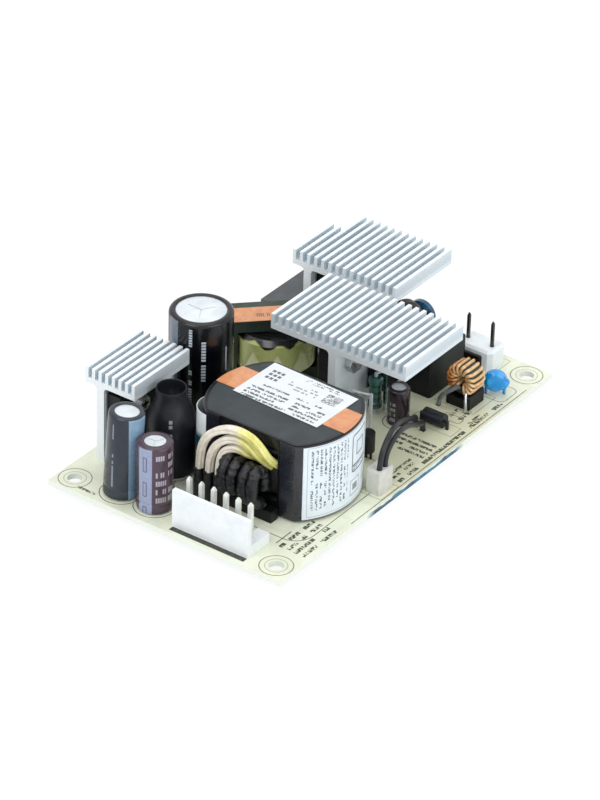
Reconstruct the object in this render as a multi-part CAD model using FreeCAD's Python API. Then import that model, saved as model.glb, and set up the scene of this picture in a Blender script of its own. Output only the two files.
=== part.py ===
import FreeCAD, Part
import math
import os
from FreeCAD import Vector

# Open frame power supply on one circuit board, in millimetres.
# X runs along the board's long side from the output end to the mains end.
# Y runs along its short side, and Z points up.
# The origin is under the board's centre, at the tips of the solder joints.

os.makedirs("parts", exist_ok=True)

# Board and its fixing holes
board_thickness = 1.6
hole_inset = 5.08
hole_diameter = 4.2
solder_height = 2.0
solder_spread = 0.55
lead_gap = 0.1
edge_margin = 1.1

# Finned heatsinks: one extruded section cut to three sizes
fin_pitch = 2.4
fin_thickness = 1.05
fin_height = 3.0
plate_thickness = 1.6
device_headroom = 2.0
leg_thickness = 2.4
root_radius = 1.2
foot_width = 2.6
foot_thickness = 1.2
output_fin_pitch = 2.2
output_fins = 8
output_sink_length = 23.7
output_sink_inset = 15.7
output_leg_back = 3.8
switch_fins = 19
switch_sink_length = 27.0
switch_leg_from_edge = 34.15
switch_sink_inset = 9.1
mains_fins = 15
mains_short_fins = 2
mains_sink_length = 27.0
mains_short_length = 18.0
mains_leg_back = 3.85
mains_sink_inset = 7.3
sink_gap = 4.3

# Power devices on the heatsink legs
screw_diameter = 3.0
screw_clearance = 0.3
screw_head_diameter = 5.6
screw_head_height = 2.1
nut_width = 5.4
nut_height = 2.2
pad_thickness = 0.25
device_thickness = 4.7
small_device_width = 10.2
small_device_height = 15.6
large_device_width = 15.6
large_device_height = 19.6
bridge_width = 22.0
bridge_height = 17.6
bridge_thickness = 3.5
device_lead_width = 0.8
device_lead_pitch = 2.54
large_lead_pitch = 5.45
bridge_lead_pitch = 5.08
large_device_lift = 1.6
small_device_lift = 5.4
bridge_lift = 3.6
plate_underside = device_headroom + max(large_device_lift + large_device_height,
                                        small_device_lift + small_device_height,
                                        bridge_lift + bridge_height)

# Main transformer: a round core with two flats on a black bobbin
core_half_width = 15.0
core_bulge = 5.9
core_corner = 2.6
core_height = 23.3
core_stand = 0.6
core_plate = 3.4
core_ring = 3.4
core_post_radius = 7.6
bobbin_wall = 1.0
bobbin_gap = 0.3
flange_thickness = 1.1
winding_to_wall = 2.0
rail_width = 3.2
rail_height = 3.4
rail_length = 20.0
rail_gap = 0.7
window_lip = 0.5
rail_pins = 6
band_thickness = 0.35
band_overlap = 4.7
tape_thickness = 0.12
label_length = 28.0
label_width = 17.8
label_thickness = 0.15
label_turn = -2.2
tape_width = 10.1
tape_offset = 2.85
label_offset = 4.9
transformer_to_header = 11.1
transformer_to_sink = 14.1
transformer_edge = 6.25

# Choke turned by 45 degrees: a round winding between two core plates
choke_radius = 11.4
choke_core_length = 31.0
choke_core_width = 10.2
choke_plate = 3.4
choke_leg = 3.3
choke_post_radius = 5.2
choke_stand = 0.8
choke_height = 20.0
choke_edge = 4.0
choke_to_sink = 7.6
choke_tape_width = 7.2
choke_flange_radius = 7.6

# Capacitors: diameter over the sleeve, height and spacing
sleeve_wall = 0.3
bulk_diameter = 17.6
bulk_height = 34.5
bulk_edge = 4.55
bulk_disc_diameter = 13.6
bulk_to_transformer = 5.3
bulk_to_output_sink = 0.7
slim_diameter = 9.9
slim_height = 25.0
slim_lean = 3.5
slim_lift = 0.45
brown_diameter = 9.8
brown_height = 20.4
front_row_inset = 7.3
front_cap_gap = 1.0
front_cap_edge = 13.85
shrink_can_diameter = 12.4
shrink_wall = 0.45
shrink_body_height = 17.2
shrink_neck_height = 26.0
shrink_neck_diameter = 7.6
start_diameter = 6.3
start_height = 11.2

# Output header, mains inlet and sensor plug
header_pitch = 3.96
header_ways = 6
header_inset = 3.0
header_depth = 9.4
header_base = 3.1
header_wall_height = 11.3
header_wall = 1.4
header_end_margin = 2.4
header_to_core_axis = 2.5
pin_size = 1.14
pin_rise = 14.1
header_pin_from_wall = 4.2
inlet_depth = 7.8
inlet_height = 6.2
inlet_length = 12.0
inlet_inset = 2.7
inlet_from_edge = 13.7
plug_length = 6.2
plug_depth = 4.9
plug_height = 7.2
plug_from_edge = 2.3
plug_before_core_flat = 6.1
wire_radius = 0.75
litz_radius = 1.25
sleeved_radius = 1.4

# Boxed film capacitors and small parts
mains_cap_length = 21.5
mains_cap_depth = 8.5
mains_cap_height = 13.0
mains_cap_edge = 1.7
mains_cap_overhang = 7.4
film_cap_length = 17.1
film_cap_depth = 9.7
film_cap_height = 12.6
film_cap_inset = 14.6
film_cap_from_edge = 19.3
ring_radius = 4.7
ring_section = 0.62
ring_width = 5.2
ring_turns = 15
ring_wire = 0.62
ring_base_length = 7.8
ring_base_height = 4.0
ring_wall = 1.0
ring_wall_height = 12.8
ring_wall_length = 5.8
ring_inset = 22.6
ring_from_edge = 7.3
disc_diameter = 8.6
small_disc_diameter = 6.4
disc_from_end = 3.05
disc_to_device = 21.65
ring_to_disc = 3.4
thermistor_diameter = 11.0
thermistor_thickness = 4.4
thermistor_from_end = 13.5
fuse_radius = 4.1
fuse_height = 8.0
fuse_inset = 8.0
fuse_to_device = 11.5
small_device_radius = 2.3
coupler_length = 6.4
coupler_width = 4.6
diode_from_edge = 11.1
disc_thickness = 2.9
resistor_diameter = 4.0
resistor_length = 9.6
small_resistor_diameter = 3.4
small_resistor_length = 8.0

solids = {}
lead_spots = []


def save(name, *shapes):
    """Keep one node: a single solid, or several separate ones."""
    solids[name] = [solid for shape in shapes for solid in shape.Solids]


def sink_width(fins, pitch):
    return (fins - 1) * pitch + fin_thickness


# The board's own size follows from what stands in line on it
core_radius = core_half_width + core_bulge
winding_depth = core_radius - core_ring - winding_to_wall - core_post_radius - bobbin_gap - bobbin_wall
core_width = 2 * core_half_width
core_outer = core_radius + band_thickness
header_length = (header_ways - 1) * header_pitch + 2 * header_end_margin
flat_x = header_inset + header_depth + transformer_to_header
transformer_x = flat_x + core_half_width
switch_x = flat_x + core_width + transformer_to_sink
mains_x = switch_x + switch_sink_length + sink_gap
board_length = mains_x + mains_sink_length + edge_margin
transformer_y = transformer_edge + core_outer
bulk_y = transformer_y + core_outer + bulk_to_transformer + bulk_diameter / 2
board_width = bulk_y + bulk_diameter / 2 + bulk_edge
board_top = solder_height + board_thickness


def at(x, y, z=0.0):
    """A point given from the board's front left corner and its top face."""
    return Vector(x - board_length / 2, y - board_width / 2, z + board_top)


def box(x0, x1, y0, y1, z0, z1):
    return Part.makeBox(x1 - x0, y1 - y0, z1 - z0, at(x0, y0, z0))


def rod(x, y, z, radius, length, axis=Vector(0, 0, 1)):
    return Part.makeCylinder(radius, length, at(x, y, z), axis)


def face_of(points):
    """A flat face from points, where ("arc", through, end) adds a round stretch."""
    edges = []
    here = points[0]
    for step in list(points[1:]) + [points[0]]:
        if isinstance(step, tuple):
            edges.append(Part.Arc(here, step[1], step[2]).toShape())
            here = step[2]
        elif step.distanceToPoint(here) > 1e-6:
            edges.append(Part.LineSegment(here, step).toShape())
            here = step
    return Part.Face(Part.Wire(edges))


def prism(points, height):
    """A flat outline at one height, raised by a thickness."""
    return face_of(points).extrude(Vector(0, 0, height))


def turned(profile, x, y):
    """A round piece from (radius, height) pairs, standing at a place on the board."""
    points = [at(x + r, y, z) for r, z in profile]
    return face_of(points).revolve(at(x, y), Vector(0, 0, 1), 360)


def hexagon(radius):
    """The six corners round a centre."""
    return [(radius * math.cos(k * math.pi / 3), radius * math.sin(k * math.pi / 3)) for k in range(6)]


def upright_edges(shape):
    return [e for e in shape.Edges if abs(e.Vertexes[0].Z - e.Vertexes[-1].Z) > 0.5 * shape.BoundBox.ZLength]


def top_edges(shape):
    top = shape.BoundBox.ZMax
    return [e for e in shape.Edges if min(v.Z for v in e.Vertexes) > top - 1e-6]


def moulded(x0, x1, y0, y1, z0, z1, corner):
    """A boxed part with bevelled upright and upper edges."""
    body = box(x0, x1, y0, y1, z0, z1)
    body = body.makeChamfer(corner, upright_edges(body))
    return body.makeChamfer(0.6 * corner, top_edges(body))


def tube(route, radius):
    """A wire of straight runs joined by tangent arcs, with its centre line on the route."""
    edges = []
    here = route[0]
    radii = []
    for before, corner, after in zip(route, route[1:], route[2:]):
        run_in = corner - before
        run_out = after - corner
        turn = run_in.getAngle(run_out)
        reach = 0.45 * min(run_in.Length, run_out.Length)
        start = corner - Vector(run_in).normalize() * reach
        end = corner + Vector(run_out).normalize() * reach
        bend = reach / math.tan(turn / 2)
        inward = ((start + end) * 0.5 - corner).normalize()
        through = corner + inward * (math.hypot(bend, reach) - bend)
        edges.append(Part.LineSegment(here, start).toShape())
        edges.append(Part.Arc(start, through, end).toShape())
        radii.append(bend)
        here = end
    edges.append(Part.LineSegment(here, route[-1]).toShape())
    path = Part.Wire(edges)
    ring = Part.Wire(Part.Circle(route[0], route[1] - route[0], radius).toShape())
    ring = Part.makePolygon(ring.discretize(Number=9))
    body = path.makePipeShell([ring], True, False)
    section = Part.Face(ring).Area
    print("wire radius", radius, "length", round(path.Length, 1), "arcs", [round(r, 1) for r in radii],
          "volume share", round(body.Volume / (section * path.Length), 3))
    return body


def lead(x, y, top, size=0.6):
    """A square lead from a height down to the board's underside."""
    half = size / 2
    lead_spots.append((x, y, half, half))
    return box(x - half, x + half, y - half, y + half, -board_thickness, top)


def wire_spot(x, y, radius):
    """The end of a round lead that goes into the board here."""
    lead_spots.append((x, y, radius, radius))
    return at(x, y, -board_thickness)


def can(x, y, diameter, height, spread, lift=0.0, lean=0.0, vents=3, fold=0.0):
    """An electrolytic capacitor: its aluminium can with two leads, and its sleeve."""
    outer = diameter / 2
    inner = outer - sleeve_wall
    shoulder = 0.1 * outer
    bead = 0.07 * outer
    low = 0.35 + 0.1 * outer
    waist = inner - bead
    metal = turned([(0, 0), (waist, 0), (waist, low + 2 * bead), (inner, low + 3 * bead),
                    (inner, height - shoulder),
                    (inner - shoulder, height - 0.2), (0, height - 0.2)], x, y)
    for k in range(vents):
        reach = 0.5 * outer
        score = box(x, x + reach, y - 0.2, y + 0.2, height - 0.5, height)
        score.rotate(at(x, y), Vector(0, 0, 1), 90 + 360 * k / vents)
        metal = metal.cut(score)
    rim = inner - 1.25 * shoulder - fold
    skin = turned([
        (waist, 0.35), (outer, 0.35), (outer, low), (outer - bead, low + bead), (outer, low + 3 * bead),
        (outer, height - shoulder), (outer - shoulder, height + 0.12), (rim, height + 0.12),
        (rim, height - 0.2),
        (inner - shoulder, height - 0.2), (inner, height - shoulder), (inner, low + 3 * bead),
        (waist, low + 2 * bead)], x, y)
    for piece in (metal, skin):
        piece.translate(Vector(0, 0, lift))
        piece.rotate(at(x, y, lift), Vector(0.75, 0.65, 0), lean)
    for side in (-1, 1):
        metal = metal.fuse(lead(x, y + side * spread / 2, lift + 0.6))
    return metal, skin


def heatsink(x0, length, y1, fins, pitch, leg_back, short=0, short_length=0.0):
    """One finned extrusion: a leg on the board, a plate across it and upright fins."""
    y0 = y1 - sink_width(fins, pitch)
    top = plate_underside + plate_thickness
    back = y1 - leg_back
    front = back - leg_thickness
    hollow = root_radius * (1 - math.sqrt(0.5))
    under = plate_underside
    points = [at(x0, front), at(x0, back), at(x0, back, under - root_radius)]
    points.append(("arc", at(x0, back + hollow, under - hollow), at(x0, back + root_radius, under)))
    points.append(at(x0, y1, under))
    for k in range(fins - 1, -1, -1):
        near = y0 + k * pitch
        far = near + fin_thickness
        points += [at(x0, far, top), at(x0, far, top + fin_height)]
        points += [at(x0, near, top + fin_height), at(x0, near, top)]
    points += [at(x0, y0, under), at(x0, front - root_radius, under)]
    points.append(("arc", at(x0, front - hollow, under - hollow), at(x0, front, under - root_radius)))
    body = face_of(points).extrude(Vector(length, 0, 0))
    if short:
        cut_from = y1 - sink_width(short, pitch) - (pitch - fin_thickness) / 2
        body = body.cut(box(x0 + short_length, x0 + length + 1, cut_from, y1 + 1, 0, top + fin_height + 1))
    middle = (front + back) / 2
    for share in (0.2, 0.8):
        x = x0 + share * length
        half_x = foot_width / 2
        half_y = foot_thickness / 2
        lead_spots.append((x, middle, half_x, half_y))
        body = body.fuse(box(x - half_x, x + half_x, middle - half_y, middle + half_y, -board_thickness, 0))
    return body, front, back


def device(x, y, side, width, height, thickness, lift, pitch, count, hole_down):
    """A moulded power device held flat on a leg, with its own leads below.

    y is the leg's face, and side is +1 or -1 for the way that the device stands out.
    """
    near = y + side * pad_thickness
    far = near + side * thickness
    low, high = min(near, far), max(near, far)
    body = box(x - width / 2, x + width / 2, low, high, lift, lift + height)
    outer = [e for e in upright_edges(body) if abs(e.Vertexes[0].Y - at(x, far).y) < 1e-6]
    body = body.makeChamfer(0.5, outer)
    if hole_down:
        hole = screw_diameter / 2 + screw_clearance / 2
        body = body.cut(rod(x, low - 1, lift + height - hole_down, hole, thickness + 2, Vector(0, 1, 0)))
    leads = []
    middle = near + side * 0.5 * thickness
    for k in range(count):
        lead_x = x + (k - (count - 1) / 2) * pitch
        leads.append(lead(lead_x, middle, lift, device_lead_width))
    half = width / 2 + 0.4
    pad_y = (min(y, near), max(y, near))
    pad = box(x - half, x + half, pad_y[0], pad_y[1], lift - 0.4, lift + height + 0.4)
    if hole_down:
        drill = rod(x, pad_y[0] - 1, lift + height - hole_down, hole, pad_thickness + 2, Vector(0, 1, 0))
        pad = pad.cut(drill)
    return body, leads, pad


def screw(x, head_y, nut_y, z):
    """A pan head screw through a device and its leg, with a hexagon nut on the far side."""
    way = 1 if nut_y > head_y else -1
    axis = Vector(0, way, 0)
    shank = rod(x, head_y, z, screw_diameter / 2, abs(nut_y - head_y) + nut_height + 0.8, axis)
    head = Part.makeCone(screw_head_diameter / 2, 0.7 * screw_head_diameter / 2, screw_head_height,
                         at(x, head_y, z), Vector(0, -way, 0))
    slot = 0.35
    reach = 0.5 * screw_head_diameter / 2
    for half_x, half_z in ((slot, reach), (reach, slot)):
        face = head_y - way * screw_head_height
        back = face + way * 0.6 * screw_head_height
        head = head.cut(box(x - half_x, x + half_x, min(face, back), max(face, back), z - half_z, z + half_z))
    corner = nut_width / math.sqrt(3)
    ring = [at(x + across, nut_y, z + up) for across, up in hexagon(corner)]
    nut = face_of(ring).extrude(axis * nut_height)
    return shank.fuse(head).fuse(nut)


# Heatsinks
output_top_y = board_width - 0.2
output_sink, output_front, output_back = heatsink(
    output_sink_inset, output_sink_length, output_top_y, output_fins, output_fin_pitch, output_leg_back)
switch_far_y = switch_sink_inset + sink_width(switch_fins, fin_pitch)
switch_sink, switch_front, switch_back = heatsink(
    switch_x, switch_sink_length, switch_far_y, switch_fins, fin_pitch, switch_far_y - switch_leg_from_edge)
mains_far_y = board_width - mains_sink_inset
mains_sink, mains_front, mains_back = heatsink(
    mains_x, mains_sink_length, mains_far_y, mains_fins, fin_pitch, mains_leg_back,
    mains_short_fins, mains_short_length)

# Power devices, each with its pad, leads and screw
device_leads = []
pads = []
screws = []


def mount_device(name, sink, x, face, nut_face, side,
                 width, height, thickness, lift, pitch, count, hole_down):
    body, leads, pad = device(x, face, side, width, height, thickness, lift, pitch, count, hole_down)
    save(name, body)
    device_leads.extend(leads)
    pads.append(pad)
    if hole_down:
        z = lift + height - hole_down
        head_y = face + side * (pad_thickness + thickness)
        screws.append(screw(x, head_y, nut_face, z))
        hole = screw_diameter / 2 + screw_clearance / 2
        low = min(face, nut_face)
        sink = sink.cut(rod(x, low - 1, z, hole, leg_thickness + 2, Vector(0, 1, 0)))
    return sink


large_hole = 4.4
small_hole = 3.2
output_device_x = output_sink_inset + 9.0
output_sink = mount_device("output_rectifier", output_sink, output_device_x, output_front, output_back, -1,
                           large_device_width, large_device_height, device_thickness, large_device_lift,
                           large_lead_pitch, 3, large_hole)
switch_device_x = switch_x + switch_sink_length - small_device_width / 2 - 1.5
switch_sink = mount_device("switching_transistor", switch_sink, switch_device_x,
                           switch_front, switch_back, -1,
                           small_device_width, small_device_height, device_thickness, small_device_lift,
                           device_lead_pitch, 3, small_hole)
boost_device_x = switch_x + small_device_width / 2 + 2.0
switch_sink = mount_device("boost_diode", switch_sink, boost_device_x, switch_back, switch_front, 1,
                           small_device_width, small_device_height, device_thickness, small_device_lift,
                           device_lead_pitch, 2, small_hole)
bridge_x = mains_x + mains_sink_length / 2
mains_sink = mount_device("bridge_rectifier", mains_sink, bridge_x, mains_front, mains_back, -1,
                          bridge_width, bridge_height, bridge_thickness, bridge_lift,
                          bridge_lead_pitch, 4, 5.0)
save("output_heatsink", output_sink)
save("switch_heatsink", switch_sink)
save("mains_heatsink", mains_sink)
save("device_leads", *device_leads)
save("insulating_pads", *pads)
save("device_screws", *screws)


# Main transformer
def core_outline(x, y, radius, half_width, z):
    """A circle cut by two flats, across X, with a round corner at each end of a flat."""
    middle_x = half_width - core_corner
    middle_y = math.sqrt((radius - core_corner) ** 2 - middle_x ** 2)
    grow = radius / (radius - core_corner)
    turn = 0.5 * math.atan2(middle_y, middle_x)
    crown_x = middle_x + core_corner * math.cos(turn)
    crown_y = middle_y + core_corner * math.sin(turn)

    def corner(side_x, side_y, along_x, along_y):
        return at(x + side_x * along_x, y + side_y * along_y, z)

    on_circle = (grow * middle_x, grow * middle_y)
    on_flat = (half_width, middle_y)
    crown = (crown_x, crown_y)
    return [corner(-1, -1, *on_circle), ("arc", at(x, y - radius, z), corner(1, -1, *on_circle)),
            ("arc", corner(1, -1, *crown), corner(1, -1, *on_flat)), corner(1, 1, *on_flat),
            ("arc", corner(1, 1, *crown), corner(1, 1, *on_circle)),
            ("arc", at(x, y + radius, z), corner(-1, 1, *on_circle)),
            ("arc", corner(-1, 1, *crown), corner(-1, 1, *on_flat)), corner(-1, -1, *on_flat),
            ("arc", corner(-1, -1, *crown), corner(-1, -1, *on_circle))]


def transformer_core():
    """Two equal halves with a plate, a round post and two curved walls, which meet halfway up."""
    x, y = transformer_x, transformer_y
    half = core_height / 2
    whole = prism(core_outline(x, y, core_radius, core_half_width, core_stand), half)
    cavity = rod(x, y, core_stand + core_plate, core_radius - core_ring, half)
    cavity = cavity.cut(rod(x, y, core_stand + core_plate - 1, core_post_radius, half + 2))
    lower = whole.cut(cavity)
    upper = lower.mirror(at(x, y, core_stand + half), Vector(0, 0, 1))
    return lower, upper


tongue_top = core_stand + core_plate + bobbin_gap + flange_thickness


def transformer_bobbin():
    """A tube on the post with a flange at each end and a pin rail outside each flat."""
    x, y = transformer_x, transformer_y
    low = core_stand + core_plate + bobbin_gap
    high = core_stand + core_height - core_plate - bobbin_gap
    inner = core_post_radius + bobbin_gap
    barrel = inner + bobbin_wall
    outer = core_radius - core_ring - bobbin_gap
    body = rod(x, y, low, barrel, high - low)
    for z in (low, high - flange_thickness):
        body = body.fuse(prism(core_outline(x, y, outer, core_half_width + window_lip, z), flange_thickness))
    body = body.cut(rod(x, y, low - 1, inner, high - low + 2))
    tongue = 1.6
    for side in (-1, 1):
        inside = x + side * (core_half_width - 1.0)
        face = x + side * (core_half_width + rail_gap)
        outside = face + side * rail_width
        body = body.fuse(box(min(inside, outside), max(inside, outside), y - tongue, y + tongue,
                             low, tongue_top))
        half = rail_length / 2
        rail = box(min(face, outside), max(face, outside), y - half, y + half, 0, rail_height)
        web = box(min(face, outside), max(face, outside), y - tongue, y + tongue, rail_height - 0.5,
                  tongue_top)
        body = body.fuse(rail).fuse(web)
    return body.removeSplitter()


def transformer_winding():
    x, y = transformer_x, transformer_y
    barrel = core_post_radius + bobbin_gap + bobbin_wall
    low = core_stand + core_plate + bobbin_gap + flange_thickness
    high = core_stand + core_height - core_plate - bobbin_gap - flange_thickness
    outer = barrel + winding_depth
    return turned([(barrel, low), (outer - 0.5, low), (outer, low + 0.5), (outer, high - 0.5),
                   (outer - 0.5, high), (barrel, high)], x, y)


def transformer_band():
    """Black tape round each curved wall of the core, ending on its flats."""
    x, y = transformer_x, transformer_y
    low = core_stand + 0.2
    tall = core_height - 0.4
    outer = prism(core_outline(x, y, core_outer, core_half_width + band_thickness, low), tall)
    ring = outer.cut(prism(core_outline(x, y, core_radius, core_half_width, low), tall))
    reach = math.sqrt(core_radius ** 2 - core_half_width ** 2) - band_overlap
    gap = box(x - core_width, x + core_width, y - reach, y + reach, low - 1, low + tall + 1)
    return ring.cut(gap)


core_top = core_stand + core_height
lower_core, upper_core = transformer_core()
save("transformer_lower_core", lower_core)
save("transformer_upper_core", upper_core)
save("transformer_bobbin", transformer_bobbin())
save("transformer_winding", transformer_winding())
save("transformer_tape_band", transformer_band())

core_plan = prism(core_outline(transformer_x, transformer_y, core_radius, core_half_width, core_top),
                  tape_thickness)
strip_left = transformer_x + tape_offset - tape_width / 2
strip = core_plan.common(box(strip_left, strip_left + tape_width, 0, board_width, core_top, core_top + 1))
save("transformer_tape_strip", strip)

label_x = transformer_x + label_offset
label_low = core_top + tape_thickness
top_label = box(label_x - label_width / 2, label_x + label_width / 2, transformer_y - label_length / 2,
                transformer_y + label_length / 2, label_low, label_low + label_thickness)
top_label.rotate(at(label_x, transformer_y), Vector(0, 0, 1), label_turn)
save("transformer_top_label", top_label)

side_plan = prism(core_outline(transformer_x, transformer_y, core_outer + label_thickness,
                               core_half_width + band_thickness, core_stand + 0.4), core_height - 1.0)
side_plan = side_plan.cut(rod(transformer_x, transformer_y, 0, core_outer, core_height + 2))
side_label = side_plan.common(box(transformer_x - core_half_width + 1.2, transformer_x + core_half_width,
                                  0, transformer_y, 0, core_height + 2))
save("transformer_side_label", side_label)

rail_x = core_half_width + rail_gap + rail_width / 2
rail_step = (rail_length - 4.0) / (rail_pins - 1)
rail_leads = []
for side in (-1, 1):
    for k in range(rail_pins):
        pin_y = transformer_y + (k - (rail_pins - 1) / 2) * rail_step
        rail_leads.append((transformer_x + side * rail_x, pin_y))
transformer_pins = []
bobbin = solids["transformer_bobbin"][0]
for x, y in rail_leads:
    transformer_pins.append(lead(x, y, 1.0, 0.8))
    half = 0.4
    bobbin = bobbin.cut(box(x - half, x + half, y - half, y + half, -1, 1.0))
save("transformer_bobbin", bobbin)
save("transformer_pins", *transformer_pins)


# Litz bundles and sleeved leads that leave the winding through the front window
def window_route(points, foot=None, radius=0.0):
    """A route in front of the window, from (out of the flat, along it, height) points."""
    route = [at(flat_x - out, transformer_y + along, height) for out, along, height in points]
    if foot:
        route.append(wire_spot(flat_x - foot[0], transformer_y + foot[1], radius))
    return route


litz_outer = window_route([(1.9, -7.0, 17.8), (2.3, -4.8, 21.2), (2.8, -1.6, 23.4), (3.2, 3.2, 23.8),
                           (4.0, 7.4, 22.4), (4.9, 11.0, 19.2), (5.2, 12.6, 13.0)],
                          (5.2, 12.6), litz_radius)
litz_middle = window_route([(1.9, -4.3, 16.8), (2.2, -2.4, 19.2), (2.5, 0.0, 20.6), (2.9, 3.2, 20.8),
                            (3.9, 6.4, 19.4), (4.8, 8.6, 16.2), (5.2, 9.4, 10.9)],
                           (5.2, 9.4), litz_radius)
litz_inner = window_route([(1.9, -0.8, 16.6), (2.3, 1.2, 17.8), (2.9, 3.6, 17.85), (4.0, 5.95, 16.2),
                           (5.2, 6.2, 11.4)], (5.2, 6.2), litz_radius)
save("transformer_litz_leads", tube(litz_outer, litz_radius), tube(litz_middle, litz_radius),
     tube(litz_inner, litz_radius))

sleeved = []
for along, rest in ((3.1, rail_height), (0.2, tongue_top), (-3.4, rail_height), (-6.3, rail_height)):
    sleeved.append(tube(window_route([(2.2, along, 9.4), (2.5, along, 12.7), (4.0, along, 15.1),
                                      (6.1, along, 15.3), (7.6, along, 13.2), (7.7, along, 8.4),
                                      (3.4, along, rest + sleeved_radius + 0.05)]), sleeved_radius))
save("transformer_sleeved_leads", *sleeved)

# Choke
choke_x = mains_x - choke_to_sink - choke_radius
choke_y = board_width - choke_edge - choke_radius


def choke_outline(z, length, width):
    """A long hexagon along the diagonal from the back left to the front right."""
    half = length / 2
    side = width / 2
    shoulder = half - 0.55 * side
    plan = [(half, 0.45 * side), (shoulder, side), (-shoulder, side), (-half, 0.45 * side),
            (-half, -0.45 * side), (-shoulder, -side), (shoulder, -side), (half, -0.45 * side)]
    slant = math.sqrt(0.5)
    return [at(choke_x + slant * (a + b), choke_y + slant * (b - a), z) for a, b in plan]


def choke_core():
    """Two equal halves: a plate with a round post and a leg at each end."""
    low = choke_stand
    half = (choke_height - low) / 2
    whole = prism(choke_outline(low, choke_core_length, choke_core_width), half)
    room = choke_core_length / 2 - choke_leg
    cavity = rod(choke_x, choke_y, low + choke_plate, room, half)
    cavity = cavity.cut(rod(choke_x, choke_y, low, choke_post_radius, half + choke_plate + 1))
    lower = whole.cut(cavity)
    upper = lower.mirror(at(choke_x, choke_y, low + half), Vector(0, 0, 1))
    return lower, upper


choke_lower, choke_upper = choke_core()
save("choke_lower_core", choke_lower)
save("choke_upper_core", choke_upper)
choke_low = choke_stand + choke_plate + bobbin_gap
choke_high = choke_height - choke_plate - bobbin_gap
choke_inner = choke_post_radius + bobbin_gap
choke_barrel = choke_inner + bobbin_wall
choke_rim = choke_flange_radius
choke_floor = choke_low + flange_thickness
choke_ceiling = choke_high - flange_thickness
save("choke_bobbin", turned([
    (choke_inner, choke_low), (choke_rim, choke_low), (choke_rim, choke_floor), (choke_barrel, choke_floor),
    (choke_barrel, choke_ceiling), (choke_rim, choke_ceiling), (choke_rim, choke_high),
    (choke_inner, choke_high)],
    choke_x, choke_y))
choke_round = 1.4
save("choke_winding", turned([
    (choke_barrel, choke_floor), (choke_rim + bobbin_gap, choke_floor), (choke_rim + bobbin_gap, choke_low),
    (choke_radius - choke_round, choke_low), (choke_radius, choke_low + choke_round),
    (choke_radius, choke_high - choke_round), (choke_radius - choke_round, choke_high),
    (choke_rim + bobbin_gap, choke_high), (choke_rim + bobbin_gap, choke_ceiling),
    (choke_barrel, choke_ceiling)],
    choke_x, choke_y))
choke_tape = prism(choke_outline(choke_height, choke_core_length - 0.1, choke_tape_width), tape_thickness)
tape_shift = math.sqrt(0.5) * ((choke_core_width - choke_tape_width) / 2 - 0.1)
choke_tape.translate(Vector(-tape_shift, -tape_shift, 0))
save("choke_tape_strip", choke_tape)
choke_pins = []
for a in (-0.5, 0.5):
    for b in (-1, 1):
        reach = choke_core_width / 2 + 1.7
        slant = math.sqrt(0.5)
        x = choke_x + slant * (a * 6.0 + b * reach)
        y = choke_y + slant * (b * reach - a * 6.0)
        choke_pins.append(lead(x, y, choke_low, 0.8))
save("choke_pins", *choke_pins)

# Electrolytic capacitors
bulk_x = output_sink_inset + output_sink_length + bulk_to_output_sink + bulk_diameter / 2
bulk_fold = bulk_diameter / 2 - sleeve_wall - 0.125 * bulk_diameter / 2 - bulk_disc_diameter / 2
bulk_can, bulk_sleeve = can(bulk_x, bulk_y, bulk_diameter, bulk_height, 7.5, fold=bulk_fold)
save("bulk_capacitor_can", bulk_can)
save("bulk_capacitor_sleeve", bulk_sleeve)
slim_y = board_width - front_cap_edge - slim_diameter / 2
slim_can, slim_sleeve = can(front_row_inset, slim_y, slim_diameter, slim_height, 5.0, slim_lift, slim_lean, 0)
save("slim_capacitor_can", slim_can)
save("slim_capacitor_sleeve", slim_sleeve)
brown_y = slim_y - slim_diameter / 2 - front_cap_gap - brown_diameter / 2
brown_can, brown_sleeve = can(front_row_inset + 0.4, brown_y, brown_diameter, brown_height, 5.0)
save("output_capacitor_can", brown_can)
save("output_capacitor_sleeve", brown_sleeve)

shrink_x = output_device_x - 0.7
shrink_y = output_front - pad_thickness - device_thickness - 2.8 - screw_head_height - shrink_can_diameter / 2
shrink_core, shrink_inner_sleeve = can(shrink_x, shrink_y, shrink_can_diameter, shrink_body_height, 5.0)
save("sleeved_capacitor_can", shrink_core.fuse(shrink_inner_sleeve).removeSplitter())
cover = shrink_can_diameter / 2
outer = cover + shrink_wall
neck = shrink_neck_diameter / 2
waist = 0.55 * (outer + neck)
save("shrink_cover", turned([
    (cover, 1.2), (outer, 1.2), (outer, shrink_body_height), (waist, shrink_neck_height - 5.6),
    (neck, shrink_neck_height - 2.6), (neck, shrink_neck_height), (neck - shrink_wall, shrink_neck_height),
    (neck - shrink_wall, shrink_neck_height - 2.8), (waist - shrink_wall, shrink_neck_height - 6.0),
    (cover, shrink_body_height + 0.2)], shrink_x, shrink_y))

start_x = switch_x + 12.9
start_y = switch_front - 12.2
start_can, start_sleeve = can(start_x, start_y, start_diameter, start_height, 2.5)
save("start_capacitor_can", start_can)
save("start_capacitor_sleeve", start_sleeve)


# Output header
def square_pin(x, y, rise):
    return lead(x, y, rise, pin_size)


def tapered_pin(x, y, rise):
    """A square post with a bevelled tip."""
    half = pin_size / 2
    tip = Part.makeWedge(0, 0, 0, 0.3 * pin_size, 0.3 * pin_size, pin_size, 0.8, pin_size,
                         0.7 * pin_size, 0.7 * pin_size)
    tip.rotate(Vector(0, 0, 0), Vector(1, 0, 0), 90)
    tip.translate(at(x - half, y + half, rise - 0.8) - Vector(0, 0, 0))
    return square_pin(x, y, rise - 0.8).fuse(tip)


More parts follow.
